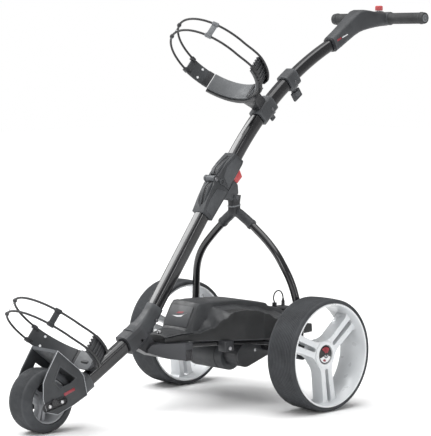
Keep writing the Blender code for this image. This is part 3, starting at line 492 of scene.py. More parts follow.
# ---------------------------------------------------------------- wheels
def ribbed_profile(outer, inner, half, shoulder, ribs, groove, crown):
    """(radius, x) loop of a tyre with grooves running round its tread."""
    def side(sign):
        points = [(inner, sign * (half - 0.0015)), (inner + 0.0015, sign * half)]
        for i in range(7):
            t = math.pi / 2 * i / 6
            points.append((outer - crown - shoulder + shoulder * math.sin(t),
                           sign * (half - shoulder + shoulder * math.cos(t))))
        return points
    flat = 2 * (half - shoulder)
    tread = []
    for i in range(ribs):
        for share, down in ((0.0, groove), (0.22, 0.0), (0.78, 0.0)):
            x = flat / 2 - flat * (i + share) / ribs
            tread.append((outer - crown * (x / (flat / 2)) ** 2 - down, x))
    return side(1) + tread + list(reversed(side(-1)))


def spoke_loops(hub, reach, first, hub_half, rim_half, slot_half):
    """Outline of a hub with three flared double spokes, and the slot down each of them."""
    loop = []
    slots = []
    for i in range(3):
        turn = Matrix.Rotation(first + i * 2 * math.pi / 3, 2)
        waist = hub_half * 0.94
        edge = [(hub * 0.8, hub_half * 1.16), (hub * 0.98, hub_half * 1.03), (hub * 1.25, waist),
                (hub + (reach - hub) * 0.55, (waist + rim_half) / 2), (reach * 0.9, rim_half),
                (reach * 0.955, rim_half * 1.12), (reach * 0.985, rim_half * 1.32), (reach, rim_half * 1.62)]
        for a, b in edge:
            loop.append(tuple(turn @ Vector((a, -b))))
        for a, b in reversed(edge):
            loop.append(tuple(turn @ Vector((a, b))))
        start = math.degrees(math.atan2(hub_half * 1.16, hub * 0.8))
        for step in range(1, 6):
            side = math.radians(start + (120 - 2 * start) * step / 6)
            loop.append(tuple(turn @ (hub * Vector((math.cos(side), math.sin(side))))))
        inner, outer = hub * 1.16, reach * 0.945
        near = [(inner + slot_half * 0.7 * math.cos(t), slot_half * 0.8 * math.sin(t))
                for t in (math.radians(d) for d in range(90, 271, 30))]
        far = [(outer + slot_half * math.cos(t), slot_half * math.sin(t))
               for t in (math.radians(d) for d in range(-90, 91, 30))]
        slots.append([tuple(turn @ Vector(p)) for p in near + far])
    return loop, slots


def dome_patch(name, centre, side, radii, angles, height):
    """Thin printed patch that follows a hub cap's dome."""
    def place(i, k, lift):
        r = radii[0] + (radii[1] - radii[0]) * i / 6
        a = math.radians(angles[0] + (angles[1] - angles[0]) * k / 12)
        return centre + Vector((side * (height(r) + lift), r * math.cos(a), r * math.sin(a)))

    points = [place(i, k, lift) for lift in (-0.0002, 0.00035) for i in range(7) for k in range(13)]
    faces = []
    for i in range(6):
        for k in range(12):
            a = i * 13 + k
            faces += [(a, a + 1, a + 14, a + 13), (a + 91, a + 92, a + 105, a + 104)]
    edge = [k for k in range(13)] + [13 * i + 12 for i in range(1, 7)]
    edge += [78 + k for k in range(11, -1, -1)] + [13 * i for i in range(5, 0, -1)]
    faces += [(a, b, b + 91, a + 91) for a, b in zip(edge, edge[1:] + edge[:1])]
    return mesh_object(name, points, faces)


def rear_wheel(side, label):
    """Ribbed tyre, rim with three slotted double spokes, hub, and the release button with its marks."""
    centre = Vector((side * AXLE.x, AXLE.y, AXLE.z))
    low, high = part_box(f"{label}_tyre")
    outer = (high[2] - low[2]) / 2
    half = (high[0] - low[0]) / 2
    seat = (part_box(f"{label}_rim")[1][2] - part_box(f"{label}_rim")[0][2]) / 2
    body = f"{label}_wheel"
    rubber = turned(f"{label}_tyre_tread",
                    ribbed_profile(outer, seat + 0.0004, half, 0.0075, 15, 0.0017, 0.0012), centre, 160)
    dressed(rubber, body, TYRE, (f"{label}_tyre",), 50)
    lip = half - 0.0022
    drum = [(seat, lip - 0.003), (seat, -lip + 0.003), (seat - 0.0004, -lip), (seat - 0.0022, -lip - 0.0006)]
    bore = [(seat - 0.0042, lip), (seat - 0.0052, lip - 0.003), (seat - 0.006, lip - 0.008),
            (seat - 0.0075, lip - 0.02), (seat - 0.0082, 0.0)]
    drum += [(r, -x) for r, x in bore] + list(reversed(bore[:-1]))
    drum += [(seat - 0.0022, lip + 0.0006), (seat - 0.0004, lip)]
    dressed(turned(f"{label}_rim_drum", drum, centre, 128), body, SILVER, (f"{label}_rim",))
    face = side * (high[0] if side > 0 else -low[0]) - side * 0.023
    depth = 0.034
    loop, slots = spoke_loops(0.0345, seat - 0.0075, math.radians(38), 0.02, 0.021, 0.0064)
    place = side_plane(centre, 0.0, face - side * depth / 2)
    socket = [(0.0229 * math.cos(math.radians(a)),
               0.0229 * math.sin(math.radians(a))) for a in range(0, 360, 8)]
    spokes = slab(f"{label}_spokes", [loop, *slots, socket], depth, place, 0.0046, 4)
    dressed(spokes, body, SILVER, (), 40)
    ring = [(0.033, -0.002), (0.033, 0.0012), (0.0318, 0.0026), (0.0262, 0.0034), (0.0242, 0.003),
            (0.023, 0.0012), (0.0228, -0.0085), (0.01, -0.0085), (0.01, -0.012), (0.029, -0.012)]
    hub = turned(f"{label}_hub_ring", [(r, face + side * x - centre.x) for r, x in ring], centre, 72)
    dressed(hub, body, SILVER)
    barrel = [(0.0165, -0.058), (0.0185, -0.036), (0.023, -0.03), (0.0066, -0.03), (0.0066, -0.058)]
    sleeve = turned(f"{label}_hub_barrel", [(r, face + side * x - centre.x) for r, x in barrel], centre, 48)
    dressed(sleeve, body, RIM_GREY)

    def dome(r):
        return face * side + 0.0042 - 0.0042 * (r / 0.0222) ** 2.2 - side * centre.x

    rise = [(0.0215 * k / 8, dome(0.0215 * k / 8)) for k in range(9)]
    base = dome(0.0) - 0.0095
    cap = rise + [(0.0221, dome(0.0215) - 0.001), (0.0221, base), (0.0, base)]
    button = turned(f"{label}_hub_cap", mirrored(cap, side), centre, 72)
    dressed(button, f"{label}_button", CAP, (f"{label}_release_button",))
    marks = (("pale_mark", (0.0085, 0.0196), (-158, -22), WHITE_MARK),
             ("low_mark", (0.0115, 0.0172), (-128, -92), RED_MARK),
             ("high_mark", (0.005, 0.0185), (48, 132), RED_MARK),
             ("band_mark", (0.003, 0.0062), (-172, -8), PALE_PRINT_AND_HIGHLIGHT))
    for k, (name, radii, angles, material) in enumerate(marks):
        patch = dome_patch(f"{label}_{name}", centre, side, radii, angles, lambda r: dome(r) + 0.0001 * k)
        dressed(patch, f"{label}_button", material)


def front_wheel():
    low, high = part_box("front_tyre")
    outer = (high[2] - low[2]) / 2
    half = (high[0] - low[0]) / 2
    seat = (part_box("front_rim")[1][2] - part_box("front_rim")[0][2]) / 2
    rubber = turned("front_tyre_tread",
                    ribbed_profile(outer, seat + 0.0004, half, 0.0165, 11, 0.0014, 0.0012), FRONT_AXLE, 128)
    dressed(rubber, "front_wheel", TYRE, ("front_tyre",), 50)
    wide = half - 0.006
    bore = [(seat - 0.0018, wide + 0.0012), (seat - 0.0038, wide - 0.002), (seat - 0.0046, wide - 0.009),
            (seat - 0.0052, 0.0)]
    drum = [(seat, wide), (seat, -wide)] + [(r, -x) for r, x in bore] + list(reversed(bore[:-1]))
    dressed(turned("front_rim_drum", drum, FRONT_AXLE, 96), "front_wheel", RIM_GREY,
            ("front_rim",))
    loop, slots = spoke_loops(0.0175, seat - 0.0045, math.radians(20), 0.0095, 0.0105, 0.0022)
    spokes = slab("front_spokes", [loop, *slots], 0.018, side_plane(FRONT_AXLE), 0.0016, 3)
    dressed(spokes, "front_wheel", RIM_GREY)
    hub = [(0.0115, 0.036), (0.0125, 0.03), (0.0125, -0.03), (0.0115, -0.036), (0.0056, -0.036),
           (0.0056, 0.036)]
    dressed(turned("front_hub", hub, FRONT_AXLE, 48), "front_wheel", RIM_GREY)


# ---------------------------------------------------------------- front fork
CHEEK = ((-0.638, 0.191), (-0.576, 0.141), (-0.562, 0.124), (-0.552, 0.078), (-0.593, 0.06),
         (-0.639, 0.044), (-0.671, 0.053), (-0.681, 0.084), (-0.68, 0.122), (-0.67, 0.142))
WINDOW = ((-0.631, 0.152), (-0.588, 0.122), (-0.601, 0.112), (-0.631, 0.105), (-0.647, 0.12))


def shrunk(loop, share):
    centre = Vector((sum(p[0] for p in loop) / len(loop), sum(p[1] for p in loop) / len(loop)))
    return [tuple(centre + (Vector(p) - centre) * share) for p in loop]


def capsule(start, end, radius, steps=8):
    """Long round-ended outline between two places."""
    start, end = Vector(start), Vector(end)
    heading = math.degrees(math.atan2(end.y - start.y, end.x - start.x))
    return (arc(start, radius, heading + 90, heading + 270, steps)
            + arc(end, radius, heading - 90, heading + 90, steps))


def fork():
    axle_line = at(0.0, 0.0)
    for side, label in SIDES:
        low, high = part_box(f"fork_cheek_{label}")
        x = (low[0] + high[0]) / 2
        thick = high[0] - low[0]
        plate = slab(f"cheek_{label}", [CHEEK, WINDOW], thick, side_plane(axle_line, 0.0, x), 0.0014, 3)
        dressed(plate, "frame", GREY, (f"fork_cheek_{label}",))
        skin = x + side * (thick / 2)
        # pale strip round the cheek's outline: painted highlight along its edge
        rim = slab(f"cheek_edge_highlight_{label}", [CHEEK, shrunk(CHEEK, 0.975)], 0.0012,
                   side_plane(axle_line, 0.0, skin + side * 0.0004), 0.0005, 2)
        dressed(rim, "frame", PALE_PRINT_AND_HIGHLIGHT)
        frill = slab(f"window_border_{label}", [shrunk(WINDOW, 1.16), WINDOW], 0.0012,
                     side_plane(axle_line, 0.0, skin + side * 0.0004), 0.0005, 2)
        dressed(frill, "frame", GREY)
        slot_line = ((-0.672, 0.064), (-0.622, 0.0735))
        tray = slab(f"axle_slot_{label}", [capsule(*slot_line, 0.0105), capsule(*slot_line, 0.0082)], 0.003,
                    side_plane(axle_line, 0.0, skin + side * 0.0012), 0.0007, 2)
        dressed(tray, "frame", DARK)
        floor = slab(f"axle_slot_floor_{label}", [capsule(*slot_line, 0.0084)], 0.001,
                     side_plane(axle_line, 0.0, skin + side * 0.0004), 0.0003, 2)
        dressed(floor, "frame", CAP)
        for k, place in enumerate(((-0.663, 0.0662), (-0.628, 0.0728))):
            head = slab(f"slot_screw_{label}_{k}", [arc(place, 0.0046, 0, 300, 5)], 0.0032,
                        side_plane(axle_line, 0.0, skin + side * 0.0022), 0.0006, 2)
            dressed(head, "frame", STEEL)
        bar = slab(f"cheek_stripe_{label}",
                   [((-0.622, 0.0905), (-0.591, 0.1005), (-0.588, 0.094), (-0.619, 0.084))],
                   0.0008, side_plane(axle_line, 0.0, skin + side * 0.0003), 0.0002, 2)
        dressed(bar, "frame", RED_MARK)
    bolt = [(0.0, 0.0525), (0.007, 0.0525), (0.0085, 0.051), (0.0085, 0.047), (0.005, 0.0468),
            (0.005, -0.0468), (0.0085, -0.047), (0.0085, -0.051), (0.007, -0.0525), (0.0, -0.0525)]
    dressed(turned("front_axle_screw", bolt, FRONT_AXLE, 36), "frame", CAP, ("front_axle_bolt",))


# ---------------------------------------------------------------- frame tubes
TUBE_W = 0.03
TUBE_D = 0.034
BEND = (-0.3385, 0.207)
BEND_R = 0.2
FRONT_SLOPE = math.radians(30.4)
REAR_SLOPE = math.radians(53.5)
ARC_R = 0.8966


def heading(slope):
    return Vector((0.0, math.cos(slope), math.sin(slope)))


def lower_line(start, end, steps=24):
    reach = BEND_R * math.tan((REAR_SLOPE - FRONT_SLOPE) / 2)
    bend = at(*BEND)
    centre = bend - heading(FRONT_SLOPE) * reach + BEND_R * heading(FRONT_SLOPE + math.pi / 2)
    line = [bend - heading(FRONT_SLOPE) * start]
    for i in range(steps + 1):
        slope = FRONT_SLOPE + (REAR_SLOPE - FRONT_SLOPE) * i / steps
        line.append(centre + BEND_R * heading(slope - math.pi / 2))
    line.append(bend + heading(REAR_SLOPE) * end)
    return line


def upper_point(degrees, off=0.0):
    return ARC_CENTRE + (ARC_R + off) * heading(math.radians(degrees + 90))


def upper_line(start, end, steps=40):
    return [upper_point(start + (end - start) * i / steps) for i in range(steps + 1)]


def bar_of(name, line, width, depth, corner):
    return swept(name, [(p, width, depth, corner) for p in line])


def tubes():
    lower = bar_of("lower_frame_tube", lower_line(0.2355, 0.3995), TUBE_W, TUBE_D, 0.0095)
    dressed(lower, "frame", BLACK, ("lower_tube",), 50)
    upper = bar_of("upper_frame_tube", upper_line(54.9, 35.25), TUBE_W, TUBE_D, 0.0095)
    dressed(upper, "upper_frame", BLACK, ("upper_tube",), 50)
    inner = bar_of("handle_inner_tube", upper_line(45.4, 22.7), TUBE_W - 0.0052, TUBE_D - 0.0052, 0.0075)
    dressed(inner, "handle", BLACK, ("handle_tube",), 50)


# ---------------------------------------------------------------- folding joint, latch and wishbone
HINGE = (-0.094, 0.532)
HINGE_SLOPE = math.radians(52.5)


def hinge():
    place = at(*HINGE)
    plane = side_plane(place, HINGE_SLOPE)
    low = [(-0.09, -0.018), (-0.03, -0.0203), (-0.0004, -0.0203), (-0.0004, 0.03), (-0.014, 0.03),
           (-0.05, 0.0268), (-0.09, 0.0205)]
    body = slab("hinge_lower_case", [low], 0.038, plane, 0.0045, 4)
    dressed(body, "frame", GREY, ("hinge_lower",))
    high = [(0.0004, -0.0195), (0.072, -0.021), (0.088, -0.018), (0.088, 0.0165), (0.05, 0.0272),
            (0.014, 0.03), (0.0004, 0.03)]
    body = slab("hinge_upper_case", [high], 0.038, plane, 0.0045, 4)
    dressed(body, "upper_frame", GREY, ("hinge_upper",))
    up = Vector((0.0, -math.sin(HINGE_SLOPE), math.cos(HINGE_SLOPE)))
    along = heading(HINGE_SLOPE)
    centre_ear = [(0.0078, -0.0118), (0.0078, 0.0118), (0.0041, 0.0118), (0.0041, -0.0118)]
    dressed(turned("hinge_centre_knuckle", centre_ear, PIVOT, 40), "frame", GREY)
    for side, label in SIDES:
        ear = [(0.0084, 0.0126), (0.0084, 0.018), (0.0076, 0.019), (0.0072, 0.019), (0.0068, 0.0184),
               (0.0041, 0.0184), (0.0041, 0.0126)]
        dressed(turned(f"hinge_ear_{label}", mirrored(ear, side), PIVOT, 48), "upper_frame", GREY)
        skin = side * 0.019
        panels = (("upper_frame", "high", [(0.006, -0.015), (0.066, -0.016), (0.08, -0.012),
                                           (0.08, 0.01), (0.046, 0.0205), (0.018, 0.016)]),
                  ("frame", "low", [(-0.082, -0.013), (-0.03, -0.016), (-0.006, -0.016),
                                    (-0.018, 0.015), (-0.05, 0.019), (-0.08, 0.014)]))
        for body, part, panel in panels:
            plane = side_plane(place, HINGE_SLOPE, skin + side * 0.0002)
            dressed(slab(f"hinge_panel_{part}_{label}", [panel], 0.0014, plane, 0.0006, 2), body, GREY)
        boss = PIVOT - up * 0.019 + along * 0.0045 + Vector((skin, 0.0, 0.0))
        ring = [(0.0072, 0.0), (0.0072, 0.002), (0.0064, 0.0028), (0.005, 0.0028), (0.0046, 0.0012),
                (0.0, 0.0012), (0.0, 0.0)]
        dressed(turned(f"hinge_boss_{label}", mirrored(ring, side), boss, 36), "upper_frame", GREY)
    # ribs down the front of both halves: a raised keel with a groove on each side, the groove painted
    # near-black as painted shade
    for body, part, way in (("frame", "low", -1), ("upper_frame", "high", 1)):
        keel = [(way * s, off) for s, off in ((0.011, 0.027), (0.0112, 0.035), (0.028, 0.0385),
                                              (0.05, 0.0335), (0.076, 0.0235), (0.076, 0.018))]
        for name, width, lower, material in (("keel", 0.0052, 0.0, GREY), ("groove", 0.015, 0.0022, CAP),
                                             ("cheek", 0.0236, 0.003, GREY)):
            loop = [keel[0]] + [(s, off - lower) for s, off in keel[1:-1]] + [keel[-1]]
            rib = slab(f"hinge_{name}_{part}", [loop], width, side_plane(place, HINGE_SLOPE), 0.001, 2)
            dressed(rib, body, material)
    pin = [(0.0, 0.0208), (0.0046, 0.0208), (0.006, 0.02), (0.006, 0.0192), (0.004, 0.019),
           (0.004, -0.019), (0.006, -0.0192), (0.006, -0.02), (0.0046, -0.0208), (0.0, -0.0208)]
    dressed(turned("hinge_pivot_pin", pin, PIVOT, 36), "frame", DARK_STEEL, ("hinge_pin",))


LEG = ((0.04, -0.031, 0.443), (0.062, -0.028, 0.4265), (0.096, -0.024, 0.4), (0.128, -0.022, 0.37),
       (0.15, -0.019, 0.34), (0.165, -0.013, 0.31), (0.175, -0.006, 0.275), (0.182, -0.001, 0.235),
       (0.187, 0.0, 0.2), (0.188, 0.0, 0.164))


def wishbone():
    place = at(*HINGE)
    for side, label in SIDES:
        line = smooth([at(y, z, side * x) for x, y, z in LEG], 8)
        dressed(tube(f"wishbone_tube_{label}", line, 0.0095, 7), "frame", BLACK,
                (f"wishbone_leg_{label}",), 50)
    arms = smooth([at(y, z, x) for x, y, z in ((0.053, -0.0294, 0.434), (0.03, -0.0325, 0.45),
                                               (0.0, -0.036, 0.465), (-0.03, -0.0325, 0.45),
                                               (-0.053, -0.0294, 0.434))], 8)
    yoke = tube("wishbone_head", arms, 0.012, 7)
    dressed(yoke, "frame", GREY, ("wishbone_yoke",), 50)
    for side, label in SIDES:
        end = arms[0] if side > 0 else arms[-1]
        inward = (arms[3] if side > 0 else arms[-4]) - end
        collar = turned_on(f"yoke_collar_{label}",
                           [(0.0098, -0.001), (0.0126, 0.0), (0.0132, 0.004), (0.0126, 0.008),
                            (0.0098, 0.009)], end, inward.normalized(), 40)
        dressed(collar, "frame", DARK)
    neck = [(at(-0.04, 0.46), 0.026, 0.03, 0.008), (at(-0.0405, 0.474), 0.024, 0.028, 0.008),
            (at(-0.041, 0.488), 0.024, 0.027, 0.008), (at(-0.0415, 0.506), 0.027, 0.03, 0.006)]
    dressed(swept("yoke_neck", neck), "frame", DARK)
    ring = [(at(-0.0405, 0.479), 0.0245, 0.0285, 0.008), (at(-0.0406, 0.4796), 0.0254, 0.0294, 0.008),
            (at(-0.0408, 0.482), 0.0254, 0.0294, 0.008), (at(-0.0409, 0.4826), 0.0245, 0.0285, 0.008)]
    dressed(swept("yoke_neck_ring", ring), "frame", MID)
    wedge = [(-0.024, -0.0207), (0.0315, -0.0207), (0.0315, -0.0375), (0.014, -0.0535), (-0.012, -0.046)]
    dressed(slab("latch_block", [wedge], 0.038, side_plane(place, HINGE_SLOPE), 0.003, 3), "frame", GREY)
    knob_at = place + heading(HINGE_SLOPE) * 0.001 - heading(HINGE_SLOPE + math.pi / 2) * 0.05
    knob = [(0.0, -0.026), (0.005, -0.026), (0.006, -0.0245), (0.006, 0.0245), (0.005, 0.026),
            (0.0, 0.026)]
    dressed(turned("latch_barrel", knob, knob_at, 32), "frame", GREY)
    lever = [(0.0345, -0.022), (0.064, -0.0224), (0.0665, -0.0265), (0.058, -0.044), (0.0345, -0.04)]
    dressed(slab("latch_lever", [lever], 0.025, side_plane(place, HINGE_SLOPE), 0.003, 4), "latch", RED,
            ("latch_catch",))


# ---------------------------------------------------------------- chassis and battery cover
COVER_HALF = ((-0.2985, 0.031), (-0.24, 0.05), (-0.18, 0.092), (-0.128, 0.13), (-0.085, 0.152),
              (0.0, 0.157), (0.083, 0.15))
COVER_CREASE = ((-0.2985, 0.179), (-0.245, 0.185), (-0.219, 0.188), (-0.191, 0.199), (-0.167, 0.221),
                (-0.148, 0.2375), (-0.125, 0.2415), (-0.105, 0.24), (-0.075, 0.23), (-0.043, 0.215),
                (0.0, 0.203), (0.083, 0.19))
COVER_RIDGE = ((-0.2985, 0.1815), (-0.25, 0.1875), (-0.212, 0.191), (-0.19, 0.212), (-0.16, 0.245),
               (-0.103, 0.2445), (-0.03, 0.233), (0.04, 0.216), (0.083, 0.203))
COVER_ROOF = ((-0.2985, 0.184), (-0.29, 0.189), (-0.246, 0.193), (-0.24, 0.198), (-0.211, 0.249),
              (-0.204, 0.256), (-0.165, 0.257), (-0.06, 0.252), (0.026, 0.236), (0.032, 0.229),
              (0.07, 0.22), (0.083, 0.213))
COVER_BOTTOM = 0.169
COVER_FRONT = -0.2985
COVER_LENGTH = 0.3815


def straight(table, value):
    for (a, low), (b, high) in zip(table, table[1:]):
        if value <= b:
            return low + (high - low) * (value - a) / (b - a)
    return table[-1][1]


def cover_section(y):
    """Left half of the cover's cross section at y: (x, z) from the bottom edge to the roof's middle."""
    half = straight(COVER_HALF, y)
    crease = track(COVER_CREASE, y)
    ridge = track(COVER_RIDGE, y)
    roof = max(straight(COVER_ROOF, y), ridge + 0.0008)
    wide = min(0.05, half - 0.006)
    side = [(half - 0.003, COVER_BOTTOM), (half - 0.0006, COVER_BOTTOM + 0.001),
            (half, COVER_BOTTOM + 0.004),
            (half - 0.0004, (COVER_BOTTOM + crease) / 2), (half - 0.001, crease - 0.0015),
            (half - 0.0022, crease - 0.0002), (half - 0.0045, crease)]
    span = (half - 0.0045) - (wide + 0.004)
    for share in (0.3, 0.6, 0.85):
        x = half - 0.0045 - span * share
        sag = 0.004 * math.sin(math.pi * share)
        side.append((x, crease + (ridge - crease) * share ** 1.3 - sag * min(1.0, span / 0.05)))
    side += [(wide + 0.004, ridge), (wide + 0.0012, ridge + 0.001), (wide, ridge + (roof - ridge) * 0.35),
             (wide - 0.0012, roof - (roof - ridge) * 0.28),
             (wide - 0.0035, roof - 0.0006 - (roof - ridge) * 0.04),
             (wide - 0.008, roof), (wide * 0.5, roof + 0.001), (0.0, roof + 0.0013)]
    return side


def battery_cover():
    stations = set()
    for table in (COVER_HALF, COVER_CREASE, COVER_RIDGE, COVER_ROOF):
        stations |= {y for y, _ in table}
    stations |= {COVER_FRONT + COVER_LENGTH * i / 90 for i in range(91)}
    rings = []
    last = None
    for y in sorted(stations):
        if last is not None and y - last < 0.0012:
            continue
        last = y
        side = cover_section(y)
        rings.append([at(y, z, x) for x, z in side] + [at(y, z, -x) for x, z in reversed(side[:-1])])
    cover = painted(loft("battery_cover_shell", rings), COVER)
    cover.data.materials.append(COVER_LIT_TOP)
    # faces above the crease take the lighter copy: painted highlight on the top surfaces
    for face in cover.data.polygons:
        y = face.center.y - AXLE.y
        if face.center.z > track(COVER_CREASE, y) - 0.0008 and abs(face.normal.y) < 0.98:
            face.material_index = 1
    dressed(cover, "frame", COVER, ("battery_cover",), 38)
    deck = [(0.0835, 0.169), (0.0835, 0.208), (0.09, 0.2066), (0.146, 0.206), (0.146, 0.169)]
    dressed(slab("cover_rear_deck", [deck], 0.1, side_plane(at(0.0, 0.0)), 0.0035, 3), "frame", COVER)
    # panel on the sloping front, in the cover's lighter copy as painted highlight, with a plain two-colour
    # mark
    front = [(-0.04, 0.004), (0.04, 0.004), (0.038, 0.058), (-0.038, 0.058)]
    lean = math.atan2(0.249 - 0.198, 0.24 - 0.211)
    turn = Matrix.Translation(at(-0.2415, 0.1972)) @ Matrix.Rotation(lean, 4, "X")
    panel = slab("cover_front_panel", [[(a, b) for a, b in front]], 0.0016, turn, 0.0007, 2)
    dressed(panel, "frame", COVER_LIT_TOP)
    swoosh = [(-0.024, 0.03), (-0.002, 0.031), (0.012, 0.034), (0.025, 0.04), (0.015, 0.035),
              (0.01, 0.029), (-0.005, 0.0275)]
    dressed(slab("cover_mark_pale", [swoosh], 0.0006, turn @ Matrix.Translation((0.0, 0.0, 0.001)),
                 0.0001, 1), "frame", WHITE_MARK)
    dash = [(-0.012, 0.036), (0.008, 0.038), (0.014, 0.043), (-0.006, 0.0415)]
    dressed(slab("cover_mark_red", [dash], 0.0006, turn @ Matrix.Translation((0.0, 0.0, 0.001)),
                 0.0001, 1), "frame", RED_MARK)
    nose = [(0.0058, 0.0), (0.0058, 0.003), (0.0046, 0.004), (0.003, 0.0036), (0.003, 0.0)]
    dressed(turned_on("nose_catch_ring", nose, at(-0.29, 0.1895), Vector((0.0, -0.35, 1.0)), 32), "frame",
            STEEL)


LEAD = ((0.102, 0.2262), (0.0985, 0.236), (0.102, 0.248), (0.112, 0.2545), (0.124, 0.252), (0.131, 0.243),
        (0.133, 0.2341))


def battery_lead():
    lead = tube("battery_lead_loop", smooth([at(y, z) for y, z in LEAD], 6), 0.0018, 4)
    dressed(lead, "frame", CORD, ("battery_lead",), 60)
    plug = [(0.0, 0.019), (0.0024, 0.019), (0.003, 0.015), (0.0045, 0.011), (0.0046, 0.009),
            (0.0042, 0.0084), (0.0042, 0.007), (0.0046, 0.0064), (0.0046, 0.0004), (0.0, 0.0004)]
    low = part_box("lead_plug")[0]
    dressed(turned_on("lead_plug_body", plug, Vector((0.0, middle("lead_plug").y, low[2])),
                      Vector((0.0, 0.0, 1.0)), 32),
            "frame", CAP, ("lead_plug",))


def bend_collar():
    """The moulded collar round the bend of the lower tube."""
    bend = at(*BEND)
    collar_line = [bend - heading(FRONT_SLOPE) * 0.046, *lower_line(0.044, 0.058)[1:]]
    stations = []
    for i, p in enumerate(collar_line):
        share = i / (len(collar_line) - 1)
        swell = 0.0075 * (1 - share) ** 1.5
        lift = heading(FRONT_SLOPE + math.pi / 2) * swell * 0.5
        stations.append((p + lift, 0.0345 + swell * 0.8, 0.0385 + swell, 0.011))
    dressed(swept("chassis_collar", stations), "frame", GREY)
    for k, share in enumerate((0.15, 0.85)):
        i = int(share * (len(collar_line) - 1))
        p = collar_line[i] - heading(FRONT_SLOPE + math.pi / 2) * 0.01
        for side, label in SIDES:
            screw = [(0.0, 0.003), (0.0034, 0.003), (0.0042, 0.002), (0.0042, 0.0), (0.0, 0.0)]
            dressed(turned(f"collar_screw_{label}_{k}", mirrored(screw, side),
                           p + Vector((side * 0.019, 0, 0)), 24),
                    "frame", DARK_STEEL)


def motor_and_rails():
    for side, label in SIDES:
        socket = box_piece(f"rail_socket_{label}", (0.02, 0.027, 0.006),
                           side_plane(at(-0.25, 0.1375), 0.0, side * 0.06), 0.0012, 2)
        dressed(socket, "frame", CAP)
        clamp = box_piece(f"rail_clamp_{label}", (0.03, 0.026, 0.026),
                          side_plane(at(-0.164, 0.1555), math.radians(2), side * 0.1), 0.003, 3)
        dressed(clamp, "frame", DARK)
        bolt = [(0.0, 0.003), (0.0034, 0.003), (0.0044, 0.002), (0.0044, -0.001), (0.0, -0.001)]
        dressed(turned(f"rail_clamp_bolt_{label}", mirrored(bolt, side),
                       at(-0.164, 0.1505, side * 0.113), 24), "frame", STEEL)
    for side, label in SIDES:
        low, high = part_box(f"axle_bearing_{label}")
        place = Vector((side * (abs(high[0]) + abs(low[0])) / 2, AXLE.y, AXLE.z))
        flange = [(0.021, 0.011), (0.021, 0.0124), (0.0195, 0.013), (0.013, 0.013), (0.012, 0.0122),
                  (0.0068, 0.0122), (0.0068, 0.011)]
        dressed(turned(f"bearing_flange_{label}", mirrored(flange, side), place, 40), "frame", DARK)
    low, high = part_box("motor_can")
    length = high[0] - low[0] + 0.012
    can = [(0.0, -0.0004), (0.035, -0.0004), (0.036, -0.003), (0.036, -0.023), (0.0348, -0.024),
           (0.0348, -0.026),
           (0.036, -0.027), (0.036, -length + 0.014), (0.0345, -length + 0.008), (0.03, -length + 0.003),
           (0.024, -length + 0.0004), (0.009, -length), (0.0, -length)]
    dressed(turned("motor_housing", can, Vector((high[0], MOTOR.y - 0.003, MOTOR.z - 0.007)), 72), "frame",
            GREY, ("motor_can",))


# ---------------------------------------------------------------- bag cradles
CORD_SPREAD = 0.018
BEAD = math.radians(124)
CORD_R = 0.0027
# angles round the bag in degrees: 0 towards the trolley's left, 270 towards the tube under the bag;
# a strap hoop runs down from HOOP_START through HOOP_SWEEP
HOOP_START = 186.5
HOOP_SWEEP = 244.5
NEAR_ARM_START = 284.5
SEAT_END = 283.8
SEAT_WIDTH = 0.0455
FAR_ARM_WIDTH = 0.0425


def cross_plane(place, slope):
    """Local X is the trolley's left, local Y stands off the bag's slope, local Z runs down it."""
    return Matrix.Translation(place) @ Matrix.Rotation(math.pi / 2 + slope, 4, "X")


def band(radius, wall, start, end, steps):
    return arc((0, 0), radius, start, end, steps) + arc((0, 0), radius + wall, end, start, steps)


def hoop(across, rise_up, along, steps=110):
    """One cord of a strap: an oval round the bag, wider and flatter on the near side."""
    line = []
    for i in range(steps + 1):
        angle = math.radians(HOOP_START - HOOP_SWEEP * i / steps)
        ease = min(1.0, max(0.0, (0.35 - angle) / 0.45))
        out = 1.0 + 0.1 * ease * ease * (3 - 2 * ease)
        out -= 0.034 * max(0.0, (-0.8 - angle) / 0.212)
        fade = min(1.0, max(0.0, (0.15 - angle) / 0.5))
        rise = rise_up + (across - rise_up) * fade
        line.append(Vector((across * out * math.cos(angle), rise * out * math.sin(angle), along)))
    return line


